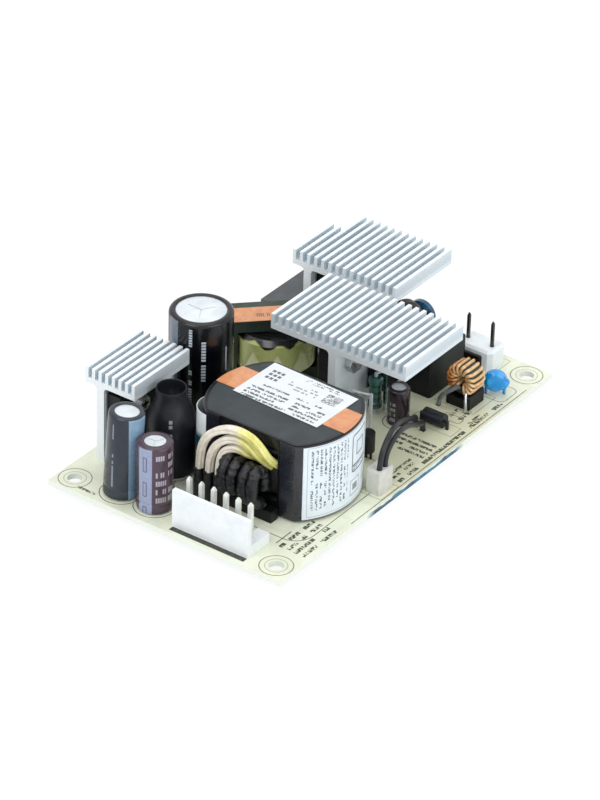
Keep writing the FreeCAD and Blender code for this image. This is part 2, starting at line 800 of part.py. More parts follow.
def header_housing(x, y, length):
    """The base with a friction wall, its catch ridge, and a notch between the pins."""
    base = box(x, x + header_depth, y, y + length, 0, header_base)
    wall = box(x, x + header_wall, y, y + length, 0, header_wall_height)
    ridge_low = header_wall_height - 3.0
    inside = x + header_wall
    ridge = face_of([at(inside, y + 1.5, ridge_low), at(inside + 0.9, y + 1.5, ridge_low + 0.6),
                     at(inside + 0.9, y + 1.5, ridge_low + 1.0), at(inside, y + 1.5, ridge_low + 2.4)])
    ridge = ridge.extrude(Vector(0, length - 3.0, 0))
    body = base.fuse(wall).fuse(ridge)
    for k in range(header_ways - 1):
        middle = y + header_end_margin + (k + 0.5) * header_pitch
        body = body.cut(box(x + header_depth - 1.6, x + header_depth + 1, middle - 0.7, middle + 0.7,
                            -1, header_base + 1))
    return body.removeSplitter()


header_x = header_inset
header_y = transformer_y - header_length / 2 - header_to_core_axis
housing = header_housing(header_x, header_y, header_length)
header_pins = []
header_pin_x = header_x + header_pin_from_wall
for k in range(header_ways):
    pin_y = header_y + header_end_margin + k * header_pitch
    header_pins.append(tapered_pin(header_pin_x, pin_y, pin_rise))
    half = pin_size / 2
    housing = housing.cut(box(header_pin_x - half, header_pin_x + half, pin_y - half, pin_y + half,
                              -1, header_base + 1))
save("output_header", housing)
save("output_header_pins", *header_pins)

# Mains inlet
inlet_x = board_length - inlet_inset - inlet_depth
inlet_y = inlet_from_edge
inlet = moulded(inlet_x, inlet_x + inlet_depth, inlet_y, inlet_y + inlet_length, 0, inlet_height, 1.2)
inlet_pins = []
inlet_pin_x = inlet_x + 3.6
for side in (-1, 1):
    pin_y = inlet_y + inlet_length / 2 + side * header_pitch
    inlet_pins.append(tapered_pin(inlet_pin_x, pin_y, pin_rise))
    half = pin_size / 2
    inlet = inlet.cut(box(inlet_pin_x - half, inlet_pin_x + half, pin_y - half, pin_y + half,
                          -1, inlet_height + 1))
save("mains_inlet", inlet)
save("mains_inlet_pins", *inlet_pins)

# Sensor plug and its two leads
plug_x = flat_x + core_width - plug_before_core_flat
plug_y = plug_from_edge
plug = moulded(plug_x, plug_x + plug_length, plug_y, plug_y + plug_depth, 0, plug_height, 0.5)
plug_hole_x = plug_x + 1.75
wire_a = [at(plug_hole_x, plug_y + 1.6, 4.2), at(plug_hole_x, plug_y + 1.6, 8.8),
          at(plug_hole_x + 1.75, plug_y + 1.8, 13.0), at(plug_hole_x + 7.2, plug_y + 2.8, 15.8),
          at(plug_hole_x + 14.8, plug_y + 5.2, 13.4), at(plug_hole_x + 22.8, plug_y + 8.2, 8.8),
          at(plug_hole_x + 28.8, plug_y + 10.6, 5.0), at(plug_hole_x + 32.8, plug_y + 12.3, 3.0),
          wire_spot(plug_hole_x + 32.8, plug_y + 12.3, wire_radius)]
wire_b = [at(plug_hole_x + 2.4, plug_y + 1.6, 4.2), at(plug_hole_x + 2.4, plug_y + 1.6, 8.2),
          at(plug_hole_x + 3.8, plug_y + 1.6, 11.8), at(plug_hole_x + 9.0, plug_y + 2.2, 14.0),
          at(plug_hole_x + 16.6, plug_y + 4.2, 11.6), at(plug_hole_x + 24.0, plug_y + 6.6, 7.0),
          at(plug_hole_x + 29.2, plug_y + 8.5, 4.0), at(plug_hole_x + 32.2, plug_y + 9.6, 2.4),
          wire_spot(plug_hole_x + 32.2, plug_y + 9.6, wire_radius)]
for start in (wire_a[0], wire_b[0]):
    plug = plug.cut(Part.makeCylinder(wire_radius + 0.1, plug_height, start, Vector(0, 0, 1)))
for x in (plug_hole_x, plug_hole_x + 2.4):
    plug = plug.fuse(lead(x, plug_y + 1.6, 1.0))
save("sensor_plug", plug.removeSplitter())
save("sensor_lead_a", tube(wire_a, wire_radius))
save("sensor_lead_b", tube(wire_b, wire_radius))


# Boxed film capacitors
def boxed(x, y, length, depth, height):
    spread = 0.7 * length
    body = moulded(x, x + length, y, y + depth, 0, height, 0.5)
    leads = []
    for side in (-1, 1):
        lead_x = x + length / 2 + side * spread / 2
        leads.append(lead(lead_x, y + depth / 2, 0, 0.8))
    return body.fuse(leads[0]).fuse(leads[1])


mains_cap_x = mains_x - mains_cap_overhang
mains_cap_y = board_width - mains_cap_edge - mains_cap_depth
save("mains_capacitor", boxed(mains_cap_x, mains_cap_y, mains_cap_length, mains_cap_depth, mains_cap_height))
film_cap_x = board_length - film_cap_inset - film_cap_length
save("film_capacitor", boxed(film_cap_x, film_cap_from_edge,
                             film_cap_length, film_cap_depth, film_cap_height))

# Line choke: a wound ring standing on a black base
ring_x = board_length - ring_inset - ring_base_length
ring_centre_x = ring_x + ring_base_length / 2
ring_centre_y = ring_from_edge + ring_base_length / 2
ring_outer = ring_radius - ring_wire
ring_inner = ring_outer - 2 * ring_section
ring_z = ring_base_height + ring_radius - 0.9
half_ring = ring_width / 2


def about_x(profile, x, y, z):
    """A round piece about an axis along X, from (radius, offset) pairs."""
    points = [at(x + a, y, z + r) for r, a in profile]
    return face_of(points).revolve(at(x, y, z), Vector(1, 0, 0), 360)


core_ring_body = about_x([(ring_inner, -half_ring), (ring_outer, -half_ring), (ring_outer, half_ring),
                          (ring_inner, half_ring)], ring_centre_x, ring_centre_y, ring_z)


def ring_turn(angle):
    """One turn of wire: a flat loop round the ring's section."""
    half = ring_wire / 2
    gap = 0.06
    wide = half_ring + gap + ring_wire
    near = ring_inner - gap - ring_wire
    far = ring_outer + gap + ring_wire
    loop = [(near + half, -wide), (far - half, -wide), (far, half - wide), (far, wide - half),
            (far - half, wide), (near + half, wide), (near, wide - half), (near, half - wide)]
    hole = [(ring_inner - gap, -half_ring - gap), (ring_outer + gap, -half_ring - gap),
            (ring_outer + gap, half_ring + gap), (ring_inner - gap, half_ring + gap)]
    plan = []
    for outline in (loop, hole):
        points = [at(ring_centre_x + a, ring_centre_y - half, ring_z + r) for r, a in outline]
        plan.append(Part.Wire(Part.makePolygon(points + [points[0]]).Edges))
    turn = Part.Face(plan).extrude(Vector(0, ring_wire, 0))
    turn.rotate(at(ring_centre_x, ring_centre_y, ring_z), Vector(1, 0, 0), angle)
    return turn


turns = [ring_turn(-150 + 300 * k / (ring_turns - 1)) for k in range(ring_turns)]
cradle = moulded(ring_x, ring_x + ring_base_length, ring_from_edge, ring_from_edge + ring_base_length,
                 0, ring_base_height, 0.5)
hollow = rod(ring_x - 1, ring_centre_y, ring_z, ring_radius + 0.2, ring_base_length + 2, Vector(1, 0, 0))
wall_x = ring_x + ring_base_length
wall_y = ring_centre_y + 1.0 - ring_wall_length / 2
wall = moulded(wall_x, wall_x + ring_wall, wall_y, wall_y + ring_wall_length, 0, ring_wall_height, 0.4)
save("line_choke_base", cradle.cut(hollow).fuse(wall).removeSplitter())
save("line_choke_ring", core_ring_body)
front_x = ring_centre_x - half_ring - ring_wire
lead_radius = 0.45
sleeved_lead_radius = 0.65
first_lead = tube([at(front_x - 0.75, ring_centre_y - 0.6, ring_z - 1.0),
                   at(ring_x - 1.7, ring_centre_y + 2.2, 5.0), at(ring_x - 2.2, ring_centre_y + 4.6, 2.2),
                   wire_spot(ring_x - 2.2, ring_centre_y + 4.6, sleeved_lead_radius)], sleeved_lead_radius)
second_lead = tube([at(front_x - 0.6, ring_centre_y - 2.6, 5.2), at(ring_x - 0.9, ring_centre_y - 3.2, 3.6),
                    at(ring_x - 1.1, ring_centre_y - 3.6, 1.8),
                    wire_spot(ring_x - 1.1, ring_centre_y - 3.6, lead_radius)], lead_radius)
save("line_choke_turns", *turns, first_lead, second_lead)

# Standing and lying small parts
def disc(name, x, y, diameter, thickness, turn, lift):
    """A coated disc standing on two leads, with its face turned from the X axis."""
    radius = diameter / 2
    z = lift + radius
    profile = [(0, -thickness / 2), (radius - 0.9, -thickness / 2), (radius, -0.25 * thickness),
               (radius, 0.25 * thickness), (radius - 0.9, thickness / 2), (0, thickness / 2)]
    body = about_x(profile, x, y, z)
    angle = math.radians(turn)
    body.rotate(at(x, y, z), Vector(0, 0, 1), turn)
    for side in (-1, 1):
        lead_x = x - side * 2.5 * math.sin(angle)
        lead_y = y + side * 2.5 * math.cos(angle)
        body = body.fuse(lead(lead_x, lead_y, z - 0.5 * radius, 0.6))
    save(name, body)


discs_y = mains_front - disc_to_device
disc("safety_capacitor_front", ring_x + ring_base_length + ring_wall + ring_to_disc, ring_centre_y - 4.35,
     small_disc_diameter, disc_thickness, 34.0, 0.9)
disc("safety_capacitor_rear", board_length - disc_thickness / 2 - disc_from_end, discs_y,
     disc_diameter, disc_thickness, 0.0, 1.7)
disc("inrush_thermistor", board_length - thermistor_from_end, discs_y,
     thermistor_diameter, thermistor_thickness, 70.0, 3.4)

diode_x = mains_x - 13.3
diode = rod(diode_x, diode_from_edge - 3.2, 2.2, 2.0, 6.4, Vector(0, 1, 0))
for side in (-1, 1):
    leg_y = diode_from_edge + side * 4.2
    arm = box(diode_x - 0.35, diode_x + 0.35, min(diode_from_edge + side * 3.0, leg_y + side * 0.35),
              max(diode_from_edge + side * 3.0, leg_y + side * 0.35), 1.85, 2.55)
    diode = diode.fuse(arm).fuse(lead(diode_x, leg_y, 2.2, 0.7))
save("snubber_diode", diode.removeSplitter())


def standing_resistor(name, x, y, diameter, length, loop_x, loop_y):
    """A bulged body on end, with its upper lead looped over and down into the board."""
    radius = diameter / 2
    low = 2.2
    high = low + length
    cap = 0.22 * length
    body = turned([(0, low), (radius - 0.5, low), (radius, low + 0.5), (radius, low + cap - 0.3),
                   (radius - 0.3, low + cap), (radius - 0.3, high - cap), (radius, high - cap + 0.3),
                   (radius, high - 0.5), (radius - 0.5, high), (0, high)], x, y)
    body = body.fuse(lead(x, y, low + 0.4, 0.7))
    top = high + 1.0
    half = 0.35
    body = body.fuse(box(x - half, x + half, y - half, y + half, high - 0.2, top + half))
    bar = rod(x, y, top, half, math.hypot(loop_x - x, loop_y - y), Vector(loop_x - x, loop_y - y, 0))
    return save(name, body.fuse(bar).fuse(lead(loop_x, loop_y, top + half, 0.7)))


standing_resistor("sense_resistor", switch_x + 12.4, switch_front - 4.9, resistor_diameter, resistor_length,
                  switch_x + 15.6, switch_front - 5.9)
standing_resistor("start_resistor", switch_x + 3.4, switch_front - 3.5, small_resistor_diameter,
                  small_resistor_length, switch_x + 4.8, switch_front - 8.7)

small_x = switch_x - 6.6
small_y = transformer_y - 11.2
small_body = rod(small_x, small_y, 2.2, small_device_radius, 5.6)
small_body = small_body.cut(box(small_x - 3, small_x + 3, small_y + 1.3, small_y + 3, 0, 9))
small_leads = [lead(small_x, small_y + (k - 1) * 1.5, 2.4, 0.5) for k in range(3)]
for piece in small_leads:
    small_body = small_body.fuse(piece)
save("control_transistor", small_body)

coupler_x = switch_x - 8.0
coupler_y = transformer_y + 8.6
coupler = moulded(coupler_x, coupler_x + coupler_length, coupler_y, coupler_y + coupler_width, 0.5, 4.0, 0.4)
for side_x in (-0.6, coupler_length + 0.6):
    for row in (coupler_width / 2 - 1.27, coupler_width / 2 + 1.27):
        arm_low = min(coupler_x + side_x, coupler_x + coupler_length / 2)
        arm_high = max(coupler_x + side_x, coupler_x + coupler_length / 2)
        coupler = coupler.fuse(box(arm_low, arm_high, coupler_y + row - 0.3, coupler_y + row + 0.3, 2.0, 2.3))
        coupler = coupler.fuse(lead(coupler_x + side_x, coupler_y + row, 2.3, 0.5))
save("optocoupler", coupler.removeSplitter())

fuse_x = mains_x + mains_sink_length - fuse_inset
fuse_y = mains_front - fuse_to_device
fuse_edge = fuse_radius - 0.4
fuse_body = turned([(0, 0.4), (fuse_radius, 0.4), (fuse_radius, fuse_height - 0.4), (fuse_edge, fuse_height),
                    (0, fuse_height)], fuse_x, fuse_y)
for side in (-1, 1):
    fuse_body = fuse_body.fuse(lead(fuse_x + side * 2.54, fuse_y, 1.0))
save("input_fuse", fuse_body)


def solder_cone(x, y, wide, narrow):
    """A six-sided joint under the board, from its pad down to the lead's tip."""
    rings = []
    for radius, z in ((narrow, -board_thickness - solder_height), (wide, -board_thickness)):
        rings.append([at(x + across, y + up, z) for across, up in hexagon(radius)])
    low, high = rings
    faces = [face_of(low[::-1]), face_of(high)]
    for k in range(6):
        faces.append(face_of([low[k], low[k - 5], high[k - 5], high[k]]))
    return Part.makeSolid(Part.makeShell(faces))


# Circuit board and solder joints
board = box(0, board_length, 0, board_width, -board_thickness, 0)
for x in (hole_inset, board_length - hole_inset):
    for y in (hole_inset, board_width - hole_inset):
        board = board.cut(rod(x, y, -board_thickness - 1, hole_diameter / 2, board_thickness + 2))
lead_holes = []
joints = []
for x, y, half_x, half_y in lead_spots:
    room_x = half_x + lead_gap
    room_y = half_y + lead_gap
    lead_holes.append(box(x - room_x, x + room_x, y - room_y, y + room_y,
                          -board_thickness - 1, 1))
    wide = max(half_x, half_y) + solder_spread
    joints.append(solder_cone(x, y, wide, 0.35 * wide))
board = board.cut(Part.makeCompound(lead_holes))
save("circuit_board", board)
save("solder_joints", *joints)

for name, shapes in solids.items():
    shape = shapes[0] if len(shapes) == 1 else Part.makeCompound(shapes)
    shape.exportStep("parts/" + name + ".step")
print("board", round(board_length, 2), "by", round(board_width, 2), "nodes", len(solids))
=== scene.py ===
# %% [markdown]
# # A small open frame power supply
# The real object is a bare circuit board, 127 by 76 mm, that carries a transformer, a choke,
# capacitors and three finned heatsinks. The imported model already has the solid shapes. This file
# gives them their finishes, adds the fine pieces, and lights the whole like a shop picture.

# %% Load the frame
import math

import bpy
from mathutils import Matrix, Vector


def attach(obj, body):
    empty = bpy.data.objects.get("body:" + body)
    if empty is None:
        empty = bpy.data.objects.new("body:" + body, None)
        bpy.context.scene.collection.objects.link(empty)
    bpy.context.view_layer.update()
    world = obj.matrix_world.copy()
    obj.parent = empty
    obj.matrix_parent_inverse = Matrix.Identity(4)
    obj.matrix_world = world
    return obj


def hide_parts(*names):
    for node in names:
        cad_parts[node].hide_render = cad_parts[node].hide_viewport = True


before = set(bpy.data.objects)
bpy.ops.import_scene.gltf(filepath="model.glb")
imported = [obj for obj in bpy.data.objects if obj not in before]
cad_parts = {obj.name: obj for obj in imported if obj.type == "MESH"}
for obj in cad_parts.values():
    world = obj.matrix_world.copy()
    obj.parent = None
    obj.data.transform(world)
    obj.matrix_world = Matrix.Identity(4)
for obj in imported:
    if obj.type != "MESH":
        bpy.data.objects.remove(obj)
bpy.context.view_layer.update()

print("nodes in the frame:", len(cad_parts))

# %% [markdown]
# ## Places used more than once
# The board's print, the finishes and the added pieces share some places: the upright axes of the
# round parts, the board's top and its fixing holes. They are named here once, in millimetres.

# %% Places used more than once
millimetre = 0.001
board_top = 3.6
hole_x, hole_y = 58.42, 33.02
transformer_axis = (-25.0, -10.6)
choke_axis = (16.4, 22.7)
bulk_axis, bulk_radius = (-14.6, 24.75), 8.8
slim_axis, slim_radius = (-56.2, 19.3), 4.95
output_axis, output_radius = (-55.8, 8.45), 4.9
start_axis, start_radius = (17.0, -18.5), 3.15
shrink_axis = (-39.5, 15.65)
print("transformer's axis:", transformer_axis, "board's top:", board_top)

# %% [markdown]
# ## Camera
# The picture was taken from high up in front of one corner, with a long lens, so that far edges
# look almost as long as near ones. A matrix places the camera, because the view also leans a
# little to one side.

# %% Camera
def place_camera():
    right = Vector((0.5874212, -0.8089147, 0.0243583))
    down = Vector((-0.4232338, -0.3327219, -0.8427154))
    ahead = Vector((0.6897894, 0.4847197, -0.5378080))
    lens = bpy.data.cameras.new("studio_camera")
    lens.lens = 195.15
    lens.sensor_width = 36.0
    lens.clip_start = 0.01
    lens.clip_end = 20.0
    camera = bpy.data.objects.new("studio_camera", lens)
    turn = Matrix((right, -down, -ahead)).transposed().to_4x4()
    camera.matrix_world = Matrix.Translation((-0.806558, -0.564698, 0.639797)) @ turn
    bpy.context.scene.collection.objects.link(camera)
    bpy.context.scene.camera = camera
    return camera


camera = place_camera()
print("camera looks from", [round(c, 3) for c in camera.matrix_world.translation])

# %% [markdown]
# ## Two sensor leads
# Two thin black leads leave a small plug at the front edge, rise, and dive between the parts to
# holes in the board. Each is a curve along a few control points, with a round bevel, because a
# wire bends without corners.

# %% Curves along control points
def curve_through(name, points, radius, cyclic=False):
    """A round wire along a NURBS curve. A point's radius also widens the curve's box, so it holds the
    wire's own radius, and the bevel that it scales is 1."""
    line = bpy.data.curves.new(name, "CURVE")
    line.dimensions = "3D"
    line.resolution_u = 8
    line.bevel_depth = 1.0 if radius else 0.0
    line.bevel_resolution = 5
    line.use_fill_caps = True
    spline = line.splines.new("NURBS")
    spline.points.add(len(points) - 1)
    for point, place in zip(spline.points, points):
        point.co = (*(Vector(place) * millimetre), 1.0)
        point.radius = radius
    spline.order_u = 3
    spline.use_cyclic_u = cyclic
    spline.use_endpoint_u = not cyclic
    made = bpy.data.objects.new(name, line)
    bpy.context.scene.collection.objects.link(made)
    return made


lead_radius = 0.75 * millimetre
leads = []
for node, long, points in (
        ("sensor_lead_a", 0.0478, [
            (-14.35, -34.2, 7.8), (-14.35, -34.2, 12.4), (-12.6, -34.0, 16.6), (-7.15, -33.0, 19.4),
            (0.45, -30.6, 17.0), (8.45, -27.6, 12.4), (14.45, -25.2, 8.6), (18.45, -23.5, 6.6),
            (18.45, -23.5, 2.0)]),
        ("sensor_lead_b", 0.0424, [
            (-11.95, -34.2, 7.8), (-11.95, -34.2, 11.8), (-10.55, -34.2, 15.4), (-5.35, -33.6, 17.6),
            (2.25, -31.6, 15.2), (9.65, -29.2, 10.6), (14.85, -27.3, 7.6), (17.85, -26.2, 6.0),
            (17.85, -26.2, 2.0)])):
    lead = curve_through(f"{node}_wire", points, lead_radius)
    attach(lead, "root")
    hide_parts(node)
    leads.append(lead)
print("sensor leads:", [lead.name for lead in leads])

# %% [markdown]
# ## Arithmetic for materials
# A material is a net of nodes, and a net of forty nodes is hard to read as code. The small class
# below lets numbers in a material be added and multiplied with plain signs, so that a mask reads
# like a formula.

# %% The class for a wire of a material
class Flow:
    """What runs along one wire of a material. Arithmetic on it adds Math nodes."""

    def __init__(self, finish, socket):
        self.finish = finish
        self.socket = socket

    def maths(self, operation, *others):
        values = dict(enumerate((self, *others)))
        return self.finish.node("ShaderNodeMath", {"operation": operation}, values)

    def __add__(self, other):
        return self.maths("ADD", other)

    def __sub__(self, other):
        return self.maths("SUBTRACT", other)

    def __rsub__(self, other):
        return self.finish.node("ShaderNodeMath", {"operation": "SUBTRACT"}, {0: other, 1: self})

    def __mul__(self, other):
        return self.maths("MULTIPLY", other)

    def __truediv__(self, other):
        return self.maths("DIVIDE", other)

    def __gt__(self, other):
        return self.maths("GREATER_THAN", other)


def paint(red, green, blue):
    """A colour as a screen shows it, 0 to 255, turned into the light values that a shader uses."""
    def light(level):
        level = level / 255
        return level / 12.92 if level <= 0.04045 else ((level + 0.055) / 1.055) ** 2.4
    return (light(red), light(green), light(blue), 1.0)


print("paint(225, 230, 211) is", [round(c, 3) for c in paint(225, 230, 211)])

# %% [markdown]
# The second class is one whole material. One method makes any kind of node, and the others make
# the few patterns that all finishes below are mixed from.

# %% The class for a finish
class Finish:
    """One material, with its place on the object in millimetres."""

    def __init__(self, name, roughness, metallic=0.0, coat=0.0, specular=0.5):
        self.material = bpy.data.materials.new(name)
        self.material.use_nodes = True
        self.tree = self.material.node_tree
        self.shader = self.tree.nodes["Principled BSDF"]
        self.value("Roughness", roughness)
        self.value("Metallic", metallic)
        self.value("Coat Weight", coat)
        self.value("Coat Roughness", 0.1)
        self.value("Specular IOR Level", specular)
        metres = self.node("ShaderNodeTexCoord", {}, {}, "Object")
        self.place = self.node("ShaderNodeVectorMath", {"operation": "SCALE"}, {0: metres, "Scale": 1000.0})
        self.x, self.y, self.z = [self.part(self.place, axis) for axis in range(3)]

    def node(self, kind, settings, sockets, output=0):
        made = self.tree.nodes.new(kind)
        for name, setting in settings.items():
            setattr(made, name, setting)
        for name, given in sockets.items():
            if isinstance(given, Flow):
                self.tree.links.new(given.socket, made.inputs[name])
            else:
                made.inputs[name].default_value = given
        return Flow(self, made.outputs[output])

    def value(self, socket, level):
        self.shader.inputs[socket].default_value = level

    def feed(self, socket, flow):
        self.tree.links.new(flow.socket, self.shader.inputs[socket])

    def part(self, vector, axis):
        return self.node("ShaderNodeSeparateXYZ", {}, {0: vector}, axis)

    def noise(self, size, detail=3.0, stretch=(1.0, 1.0, 1.0)):
        """Cloudy numbers from 0 to 1, with spots about as large as size, in millimetres."""
        spread = self.node("ShaderNodeVectorMath", {"operation": "MULTIPLY"},
                           {0: self.place, 1: tuple(1 / s for s in stretch)})
        return self.node("ShaderNodeTexNoise", {}, {"Vector": spread, "Scale": 1 / size, "Detail": detail})

    def step(self, flow, edge, soft=0.05):
        """0 below the edge and 1 above it."""
        return self.node("ShaderNodeMapRange", {"clamp": True},
                         {0: flow, 1: edge - soft, 2: edge + soft, 3: 0.0, 4: 1.0})

    def between(self, flow, low, high, soft=0.05):
        return self.step(flow, low, soft) * (1.0 - self.step(flow, high, soft))

    def mix(self, under, over, share):
        """Colour under with as much of colour over as share says."""
        return self.node("ShaderNodeMix", {"data_type": "RGBA"}, {0: share, 6: under, 7: over}, 2)

    def mottle(self, colour, shade, cloud, soft=0.2):
        """Two near colours, mixed by a cloudy pattern."""
        return self.mix(paint(*colour), paint(*shade), self.step(cloud, 0.5, soft))

    def skin(self, colour, pattern, spread, middle, height, depth):
        """The last step: a colour, a roughness that wanders about a middle, and relief in millimetres."""
        self.feed("Base Color", colour)
        self.feed("Roughness", (pattern - 0.5) * spread + middle)
        relief = {"Height": height, "Distance": depth * millimetre, "Strength": 1.0}
        self.feed("Normal", self.node("ShaderNodeBump", {}, relief))
        return self

    def facing(self, axis):
        """How far a face looks along an axis, from -1 to 1."""
        return self.part(self.node("ShaderNodeNewGeometry", {}, {}, "Normal"), axis)

    def side_facing(self, axis):
        """1 on faces that look along an axis, either way."""
        return self.facing(axis).maths("ABSOLUTE")


def dress(finish, *nodes):
    for name in nodes:
        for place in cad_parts[name].material_slots:
            place.material = finish.material


def cover(*masks):
    """The union of masks."""
    whole = masks[0]
    for mask in masks[1:]:
        whole = whole.maths("MAXIMUM", mask)
    return whole


def distance(across, along):
    """The distance that two distances at a right angle make."""
    return (across * across + along * along).maths("SQRT")


print("finish class ready")

# %% [markdown]
# ## Moulded and dipped finishes
# Most small parts have one colour that is never quite even: moulded plastic has a fine grain,
# dipped parts have a soft uneven gloss. One helper covers them. It mixes two near colours by a
# cloudy pattern, adds a grain as relief, and lets the gloss wander.

# %% A helper for moulded and dipped parts
def moulded(name, colour, shade, roughness, patch=3.0, grain=0.3, relief=0.02, coat=0.0, specular=0.5):
    finish = Finish(name, roughness, coat=coat, specular=specular)
    fine = finish.noise(grain, 4.0)
    colour = finish.mottle(colour, shade, finish.noise(patch), 0.18)
    return finish.skin(colour, fine, 0.2, roughness, fine, relief)


dress(moulded("nylon_white", (241, 245, 247), (232, 238, 242), 0.42, relief=0.012),
      "output_header", "mains_inlet")
dress(moulded("nylon_ivory", (216, 216, 207), (198, 198, 190), 0.42, relief=0.015), "sensor_plug")


def transformer_core_finish():
    """Grey ferrite, with the black glossy edge of the tape folded over its rim."""
    finish = Finish("ferrite_grey", 0.5, specular=0.35)
    cloud = finish.noise(6.0)
    fine = finish.noise(0.5, 4.0)
    grey = finish.mottle((58, 66, 69), (46, 53, 57), cloud, 0.18)
    away_x = finish.x - transformer_axis[0]
    away_y = finish.y - transformer_axis[1]
    round_rim = finish.step(distance(away_x, away_y) + cloud * 0.4, 20.3, 0.25)
    flat_rim = finish.step(away_x.maths("ABSOLUTE") + cloud * 0.4, 14.5, 0.25)
    rim = cover(round_rim, flat_rim)
    colour = finish.mix(grey, paint(10, 11, 15), rim * 0.9)
    return finish.skin(colour, fine, 0.2, 0.5 - rim * 0.25, fine, 0.015)


dress(transformer_core_finish(), "transformer_lower_core", "transformer_upper_core")
ferrite_green = moulded("ferrite_green", (58, 72, 62), (40, 50, 46), 0.45, patch=5.0, grain=0.5,
                        relief=0.015, specular=0.35)
dress(ferrite_green, "choke_lower_core", "choke_upper_core")
dress(moulded("bobbin_black", (13, 14, 18), (7, 8, 11), 0.42, specular=0.28),
      "choke_bobbin", "transformer_bobbin", "line_choke_base")
tube_black = moulded("tube_black", (20, 21, 28), (8, 8, 12), 0.34, patch=1.6, grain=0.9, relief=0.3)
dress(tube_black, "transformer_sleeved_leads")
wire_black = moulded("wire_black", (40, 43, 47), (28, 30, 34), 0.42, relief=0.01, specular=0.4)
for lead in leads:
    lead.data.materials.append(wire_black.material)
dress(moulded("epoxy_black", (20, 22, 25), (12, 13, 16), 0.45, grain=0.2, specular=0.3),
      "boost_diode", "output_rectifier", "switching_transistor", "control_transistor",
      "bridge_rectifier", "optocoupler")
dress(moulded("box_black", (20, 26, 31), (13, 16, 20), 0.42, grain=0.25, specular=0.3),
      "input_fuse", "film_capacitor")
dress(moulded("box_grey", (66, 72, 78), (50, 56, 62), 0.35, grain=0.25, coat=0.2),
      "mains_capacitor")
dress(moulded("dip_dark", (42, 44, 42), (28, 30, 30), 0.45, grain=0.4, relief=0.05), "inrush_thermistor")
dip_blue = moulded("dip_blue", (6, 168, 240), (0, 126, 206), 0.2, patch=2.0, grain=0.8, relief=0.05, coat=0.5)
dress(dip_blue, "safety_capacitor_front")
dip_blue_deep = moulded("dip_blue_deep", (24, 104, 150), (8, 44, 78), 0.25, patch=2.0, grain=0.8,
                        relief=0.05, coat=0.4)
dress(dip_blue_deep, "safety_capacitor_rear")
dress(moulded("pad_grey", (150, 156, 160), (128, 134, 140), 0.6, grain=0.2, relief=0.03), "insulating_pads")
dress(moulded("ring_dark", (26, 64, 54), (18, 48, 42), 0.4, grain=0.4, relief=0.04, coat=0.3),
      "line_choke_ring")
dress(moulded("diode_grey", (34, 38, 44), (22, 24, 28), 0.4, grain=0.25, specular=0.35), "snubber_diode")
print("moulded and dipped parts dressed")

# %% [markdown]
# ## Bare metals
# Leads are tinned and screws are plated steel: bright, but dulled by handling. The extruded heatsinks
# carry fine lines along the direction in which the aluminium left its die, so their noise is stretched
# along X. Their tops and X faces get painted light, and the fin sides just below the tops painted shade.

# %% Bare metals
def bare_metal(name, colour, shade, roughness, grain=0.4, relief=0.01, metallic=1.0):
    finish = Finish(name, roughness, metallic)
    fine = finish.noise(grain)
    colour = finish.mottle(colour, shade, finish.noise(4.0, 2.0))
    return finish.skin(colour, fine, 0.25, roughness, fine, relief)


tinned = bare_metal("tinned_lead", (206, 210, 214), (176, 180, 186), 0.3)
dress(tinned, "choke_pins", "device_leads", "transformer_pins")
dress(bare_metal("tinned_post", (246, 248, 244), (214, 217, 210), 0.42, metallic=0.5), "output_header_pins")
# Painted reflection: the mains posts get a dark colour, as the dark reflection on their bright metal.
dark_reflection_post = bare_metal("dark_reflection_post", (74, 70, 66), (40, 38, 38), 0.4, metallic=0.5)
dress(bare_metal("solder_bright", (198, 202, 206), (168, 172, 178), 0.26, relief=0.04), "solder_joints")
dress(bare_metal("plated_screw", (196, 198, 200), (150, 152, 156), 0.3), "device_screws")
dress(bare_metal("can_aluminium", (232, 238, 242), (214, 221, 226), 0.45, grain=0.25, metallic=0.6),
      "bulk_capacitor_can", "output_capacitor_can", "slim_capacitor_can", "start_capacitor_can",
      "sleeved_capacitor_can")


def extruded_aluminium():
    finish = Finish("extruded_aluminium", 0.5, 0.3)
    lines = finish.noise(0.35, 4.0, (60.0, 1.0, 1.0))
    cloud = finish.noise(9.0, 2.0, (3.0, 1.0, 1.0))
    metal = finish.mottle((232, 240, 244), (218, 228, 234), cloud)
    # Painted shade: the fin sides just below the tops are darkened, as the shade between the fins.
    painted_fin_shade = finish.step(finish.z, 28.0, 0.3) * (1.0 - finish.step(finish.z, 30.8, 1.2))
    metal = finish.mix(metal, paint(182, 197, 206), painted_fin_shade * (1.0 - finish.side_facing(0)) * 0.45)
    # Painted light: the tops and the faces that look along X are painted brighter, as lit by the lamps.
    painted_top_light = finish.step(finish.z, 31.25, 0.1)
    metal = finish.mix(metal, paint(240, 245, 248), cover(painted_top_light, finish.side_facing(0)) * 0.8)
    return finish.skin(metal, lines, 0.3, 0.5, lines, 0.03)


dress(extruded_aluminium(), "mains_heatsink", "output_heatsink", "switch_heatsink")
print("metals dressed")

# %% [markdown]
# ## Print that says nothing
# Labels, sleeves and the board all carry small print. Here it stays generic: rows of tiny blocks
# with gaps like the gaps between words. White noise on a grid of cells gives the blocks, and a
# second, coarser grid opens the gaps, so no letter or number is ever drawn.

# %% Rows of small print
def random_cell(finish, *place):
    """A number from 0 to 1 for each cell of a grid."""
    cell = finish.node("ShaderNodeCombineXYZ", {}, dict(enumerate(place)))
    return finish.node("ShaderNodeTexWhiteNoise", {"noise_dimensions": "3D"}, {"Vector": cell})


